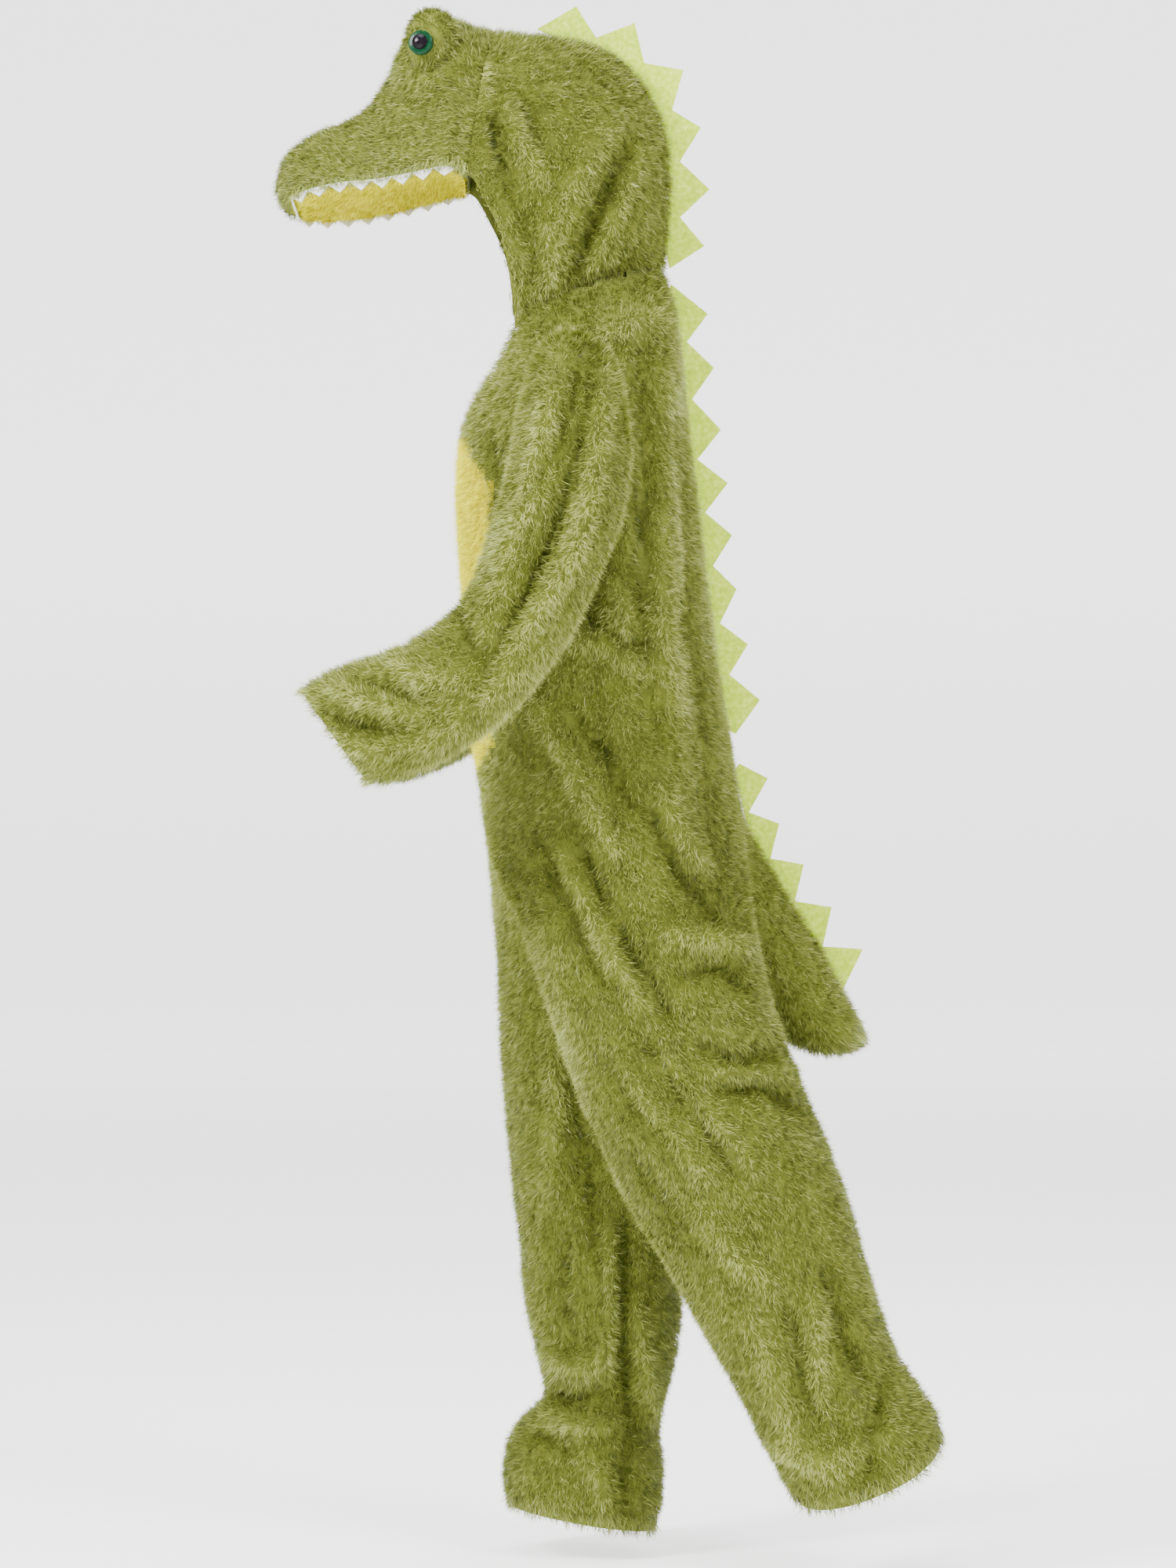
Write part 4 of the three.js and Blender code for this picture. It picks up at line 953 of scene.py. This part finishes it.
def tones(rng, tufts, stray, seed, base, ruffle):
    """Each strand's tone: base + painted light and shade by height and by fold lift + mottle + chance, by
    tuft and by strand.
    """
    centre, shape = tufts["centre"], stray.shape
    mottle = 0.6 * lattice_noise(centre, 60, seed + 5) + 0.4 * lattice_noise(centre, 19, seed + 6)
    # Painted light and shade: by height, and 0.036 a mm of fold lift, which darkens the troughs and
    # lightens the ridges.
    tone = base + painted_light_by_height(centre) + 0.2 * (mottle - 0.5) + 0.036 * tufts["lift"] + tufts["proud"] * 0.1
    tone = tone + rng.normal(0, 0.11 * ruffle, len(centre))
    # Painted highlights: glinting strands, and stray strands by 0.15, get paler tones.
    glint = (rng.random(shape) < GLINT) * rng.uniform(0.15, 0.5, shape)
    chance = rng.normal(0, 0.16 * ruffle, shape)
    return np.clip(tone[:, None] + chance + glint + stray * 0.15, 0.02, 0.98)


def pile(name, points, lifts, keep, closed, colour, length=9.0, lean=52.0, share=1.0, base=0.5,
         ruffle=1.0):
    """Strands on a grid as one mesh, with tone and place along the strand in its UV map.

    Length is in mm, lean in degrees from the cloth, share scales how many strands there are, and
    ruffle how much one differs from the next.
    """
    seed = next(SEEDS)
    rng = np.random.default_rng(seed)
    tufts = plant(rng, points, lifts, keep, closed, share)
    comb(rng, tufts, seed, length, lean)
    strands, stray = strands_on(rng, tufts)
    tone = tones(rng, tufts, stray, seed, base, ruffle)
    spots = np.empty((*tone.shape, 3, 2), np.float32)
    spots[..., 0] = tone[..., None] + np.array([-0.008, 0.008, 0])
    spots[..., 1] = np.array([0.03, 0.03, 0.97])
    corners = strands.reshape(-1, 3)
    faces = np.arange(len(corners), dtype=np.int32).reshape(-1, 3)
    made = new_object(name, corners * MM, faces, False)
    made.data.uv_layers.new(name=STRAND_MAP).data.foreach_set("uv", spots.ravel())
    print(f"{name}: {len(faces)} strands")
    return dress(made, colour, "pile")


# %% [markdown]
# ## Body panels
#
# A maker cuts a front and a back for each side, from the shoulder right down to the hem, and joins
# them along the side and the inside leg. One surface per side gives both, split at those seams, so
# the panels meet exactly. Cutting flat panels and draping them would give less say over each fold.

# %% Body
MIRROR = np.array([-1, 1, 1])


def facing(side, made):
    """The grid itself for the left, or mirrored with its columns reversed for the right."""
    points, lifts = made
    if side == "left":
        return points, lifts
    return (points * MIRROR)[:, ::-1], lifts[:, ::-1]


def panel(node, grid, keep_cloth, keep_pile, closed, colour, coarse, fine):
    """A backing on a coarse grid, and strands rooted on a fine one that holds the folds."""
    points, _ = grid(BACKING, *coarse)
    cloth = backing(f"{node}_cloth", points, keep_cloth, closed, colour)
    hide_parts(node)
    points, lifts = grid(PILE, *fine)
    return cloth, pile(f"{node}_pile", points, lifts, keep_pile, closed, colour)


def body_grid(side, part):
    """One side's back, from its outer to its inner seam, or its front on the way round again."""
    start = {"back": 0, "front": np.pi}[part]

    def grid(inset, down, around):
        turn = np.linspace(start, start + np.pi, around)
        return facing(side, body_surface(side, down, turn, inset))
    return grid


def on_centre(p):
    """The straight side of a section, which lies on the centre plane and isn't cloth."""
    return (np.abs(p[..., 0]) < 0.5) & (p[..., 2] > -720)


def green_cloth(p):
    """The backing runs up inside the hood, and stops short of the neckline, under the pile."""
    return ~(above_neck(p, -8) | in_neckline(p, 5) | in_belly(p) | in_armhole(p, 38, 54) | on_centre(p))


def green_pile(p):
    """The pile stops at the neckline itself, and a little way above the neck seam."""
    return ~(above_neck(p, -4) | in_neckline(p) | in_belly(p) | in_armhole(p, 36, 54) | on_centre(p))


def yellow(p):
    return in_belly(p) & ~on_centre(p)


BODY_GRIDS = {"coarse": (110, 30), "fine": (420, 150)}
PANELS = {
    "front": ("front", green_cloth, green_pile, "green", (0.40, 1.46), 0.365),
    "back": ("back", green_cloth, green_pile, "green", (0.42, 1.48), 0.41),
    "belly": ("front", yellow, yellow, "yellow", (0.13, 0.40), 0.045),
}
for side in ("left", "right"):
    for name, (part, keep_cloth, keep_pile, colour, flat, area) in PANELS.items():
        grid = body_grid(side, part)
        pair = panel(f"{name}_{side}", grid, keep_cloth, keep_pile, False, colour, **BODY_GRIDS)

# %% [markdown]
# ## Sleeves
#
# A set-in sleeve starts as an oval in the armhole's plane and swings round until it hangs, then bends
# forward at the elbow. Where it would lie inside the torso it is left off. One tube carried along
# that path keeps the nap and the folds running through the bend.


# %% Sleeves
def sleeve_grid(side):
    def grid(inset, down, around):
        turn = np.linspace(0, 2 * np.pi, around, endpoint=False)
        return facing(side, sleeve_surface(down, turn, inset))
    return grid


def outside_torso(p):
    return ~in_torso(p, 3)


def into_armhole(p):
    """The backing runs on a little way inside the body, so that no gap shows round the armhole."""
    return ~in_torso(p, 14)


for side in ("left", "right"):
    pair = panel(f"sleeve_{side}", sleeve_grid(side), into_armhole, outside_torso, True, "green",
                 (60, 40), (220, 170))

# %% [markdown]
# ## Hood
#
# Two shaped halves meet along the crown, where the felt spikes are caught. Their front edge is left
# as a plain hem, and the last arch carries the snout. Arches on a grid follow the real seams, which
# a sculpted cap wouldn't.


# %% Hood
def hood_grid(side):
    """Rows from the brow down to the neck, which is the way the nap lies."""
    def grid(inset, down, around):
        points, lifts = hood_surface(down, np.linspace(0, 1, around), inset)
        return facing(side, (points[::-1], lifts[::-1]))
    return grid


def everywhere(p):
    return np.ones(p.shape[:-1], bool)


for side in ("left", "right"):
    pair = panel(f"hood_{side}", hood_grid(side), everywhere, everywhere, False, "green",
                 (44, 26), (180, 110))

# %% [markdown]
# ## Head
#
# The upper jaw is a stuffed pad: green above, yellow below, with the white teeth let in along the
# lip. The nap runs from the brow to the tip. Two furry domes carry the plastic eyes. All of them hold
# filling, so each is a closed skin under its pile, where a panel of the suit is an open shell.


# %% Snout
def closed_skin(name, points, colour, node):
    """A closed tube over the grid's rows, its ends drawn together into a fan of thin triangles."""
    rows, columns = points.shape[:2]
    ends = np.stack([np.broadcast_to(points[i].mean(0), points[i].shape) for i in (0, -1)])
    capped = np.concatenate([ends[:1], points, ends[1:]])
    made = new_object(name, capped.reshape(-1, 3) * MM, grid_faces(rows + 2, columns, True))
    weld = made.modifiers.new("weld", "WELD")
    weld.merge_threshold = 0.00002
    dress(made, colour, "backing")
    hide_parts(node)
    return made


BROW_LIFT, BROW_BREADTH = 15, 17  # mm


def brow(points):
    """The snout's skin drawn up round the domes: lift * exp(-(distance / breadth)^2) from each."""
    normals, _ = outward_normals(points, False)
    lift = np.zeros(points.shape[:2])
    for x in (DOME["x"], -DOME["x"]):
        size = dome_size(0)
        away = (np.linalg.norm((points - [x, DOME["y"], DOME["z"]]) / size, axis=-1) - 1) * size.mean()
        lift = np.maximum(lift, BROW_LIFT * np.exp(-((np.maximum(away, 0) / BROW_BREADTH) ** 2)))
    return points + normals * lift[..., None]


def brow_free(p):
    """The snout's skin outside both domes."""
    inside = 0
    for x in (DOME["x"], -DOME["x"]):
        inside = inside + ((((p - [x, DOME["y"], DOME["z"]]) / dome_size(PILE)) ** 2).sum(-1) < 1)
    return inside == 0


SNOUT_DOWN = 110  # rows from brow to tip
snout_top, snout_flat = snout_surface(SNOUT_DOWN, np.linspace(0, 1, 80)[::-1], PILE)
snout_top = brow(snout_top)
under_rows = as_columns(snout_rows(SNOUT_DOWN))
under_share = np.linspace(0, 1, 14)[1:-1]
under_across = (1 - 2 * under_share) * (under_rows["wide"] - PILE)
snout_under = snout_place(under_rows, under_across, under_rise(under_rows["wide"], under_share))
snout_ring = np.concatenate([snout_top, snout_under], 1)
closed_skin("snout_skin", snout_ring[::2], "green", "snout")
pile("snout_pile", snout_top, snout_flat, brow_free, False, "green", length=9, lean=46, base=0.45,
     ruffle=1.4)

# The pile hangs over the teeth along both lips
LIP_OUT = {"left": 3, "right": -3}  # mm
for side, strip in {"left": snout_top[::-1, -2:], "right": snout_top[:, 1::-1]}.items():
    fringe = strip.transpose(1, 0, 2) + [LIP_OUT[side], 0, 0]
    pile(f"lip_{side}_pile", fringe, 0 * fringe[..., 0], everywhere, False, "green", length=7, lean=26,
         share=4)

# %% Palate
palate_under, palate_flat = palate_surface(50, np.linspace(1, 0, 30), 2.5)
palate_top = palate_surface(50, np.linspace(0, 1, 30), 5.9)[0]
palate_ring = np.concatenate([palate_under, palate_top], 1)
closed_skin("palate_pad", palate_ring, "yellow", "palate")
pile("palate_pile", palate_under, palate_flat, everywhere, False, "yellow", length=9, lean=40)

# %% Domes
EYE = {"y": -203, "z": 303, "clear": 15.0}


def off_eyes(p):
    """Clear of the plastic eyes."""
    return np.hypot(p[..., 1] - EYE["y"], p[..., 2] - EYE["z"]) > EYE["clear"]


dome_turn = np.linspace(0, 2 * np.pi, 40, endpoint=False)
for side in ("left", "right"):
    dome, dome_flat = dome_surface(28, dome_turn, 4.5)
    if side == "right":
        dome = (dome * MIRROR)[:, ::-1]
    closed_skin(f"dome_{side}_skin", dome, "green", f"eye_dome_{side}")
    pile(f"dome_{side}_pile", dome, dome_flat, off_eyes, True, "green", length=8, lean=56)

# %% [markdown]
# ## Tail
#
# The tail is a stuffed cone with a blunt tip, sewn to the seat. Ovals between a top and an under line
# give it its droop, and its pile is left off where it would grow inside the seat.

# %% Tail
tail_turn = np.linspace(0, 2 * np.pi, 44, endpoint=False)
tail_points, tail_flat = tail_surface(60, tail_turn, PILE)
closed_skin("tail_skin", tail_points, "green", "tail")


def off_seat(p):
    return ~in_seat(p, 4)


pile("tail_pile", tail_points, tail_flat, off_seat, True, "green", length=10.0, base=0.52)

# %% [markdown]
# ## Felt and plastic
#
# The spikes, teeth, irises and pupils have their true shape in the solids, so they stay as they are
# and only take a better finish.

# %% Finishes for the solids that stay
STAYING = {
    "spikes_hood": "lime_felt", "spikes_back": "lime_felt", "spikes_tail": "lime_felt",
    "teeth": "white_felt", "eye_left": "green_eye", "eye_right": "green_eye",
    "pupil_left": "dark_eye", "pupil_right": "dark_eye",
}
for node, finish in STAYING.items():
    for material_slot in bpy.data.objects[node].material_slots:
        material_slot.material = FINISHES[finish]
print(len(STAYING), "solids stay, with a finish each")
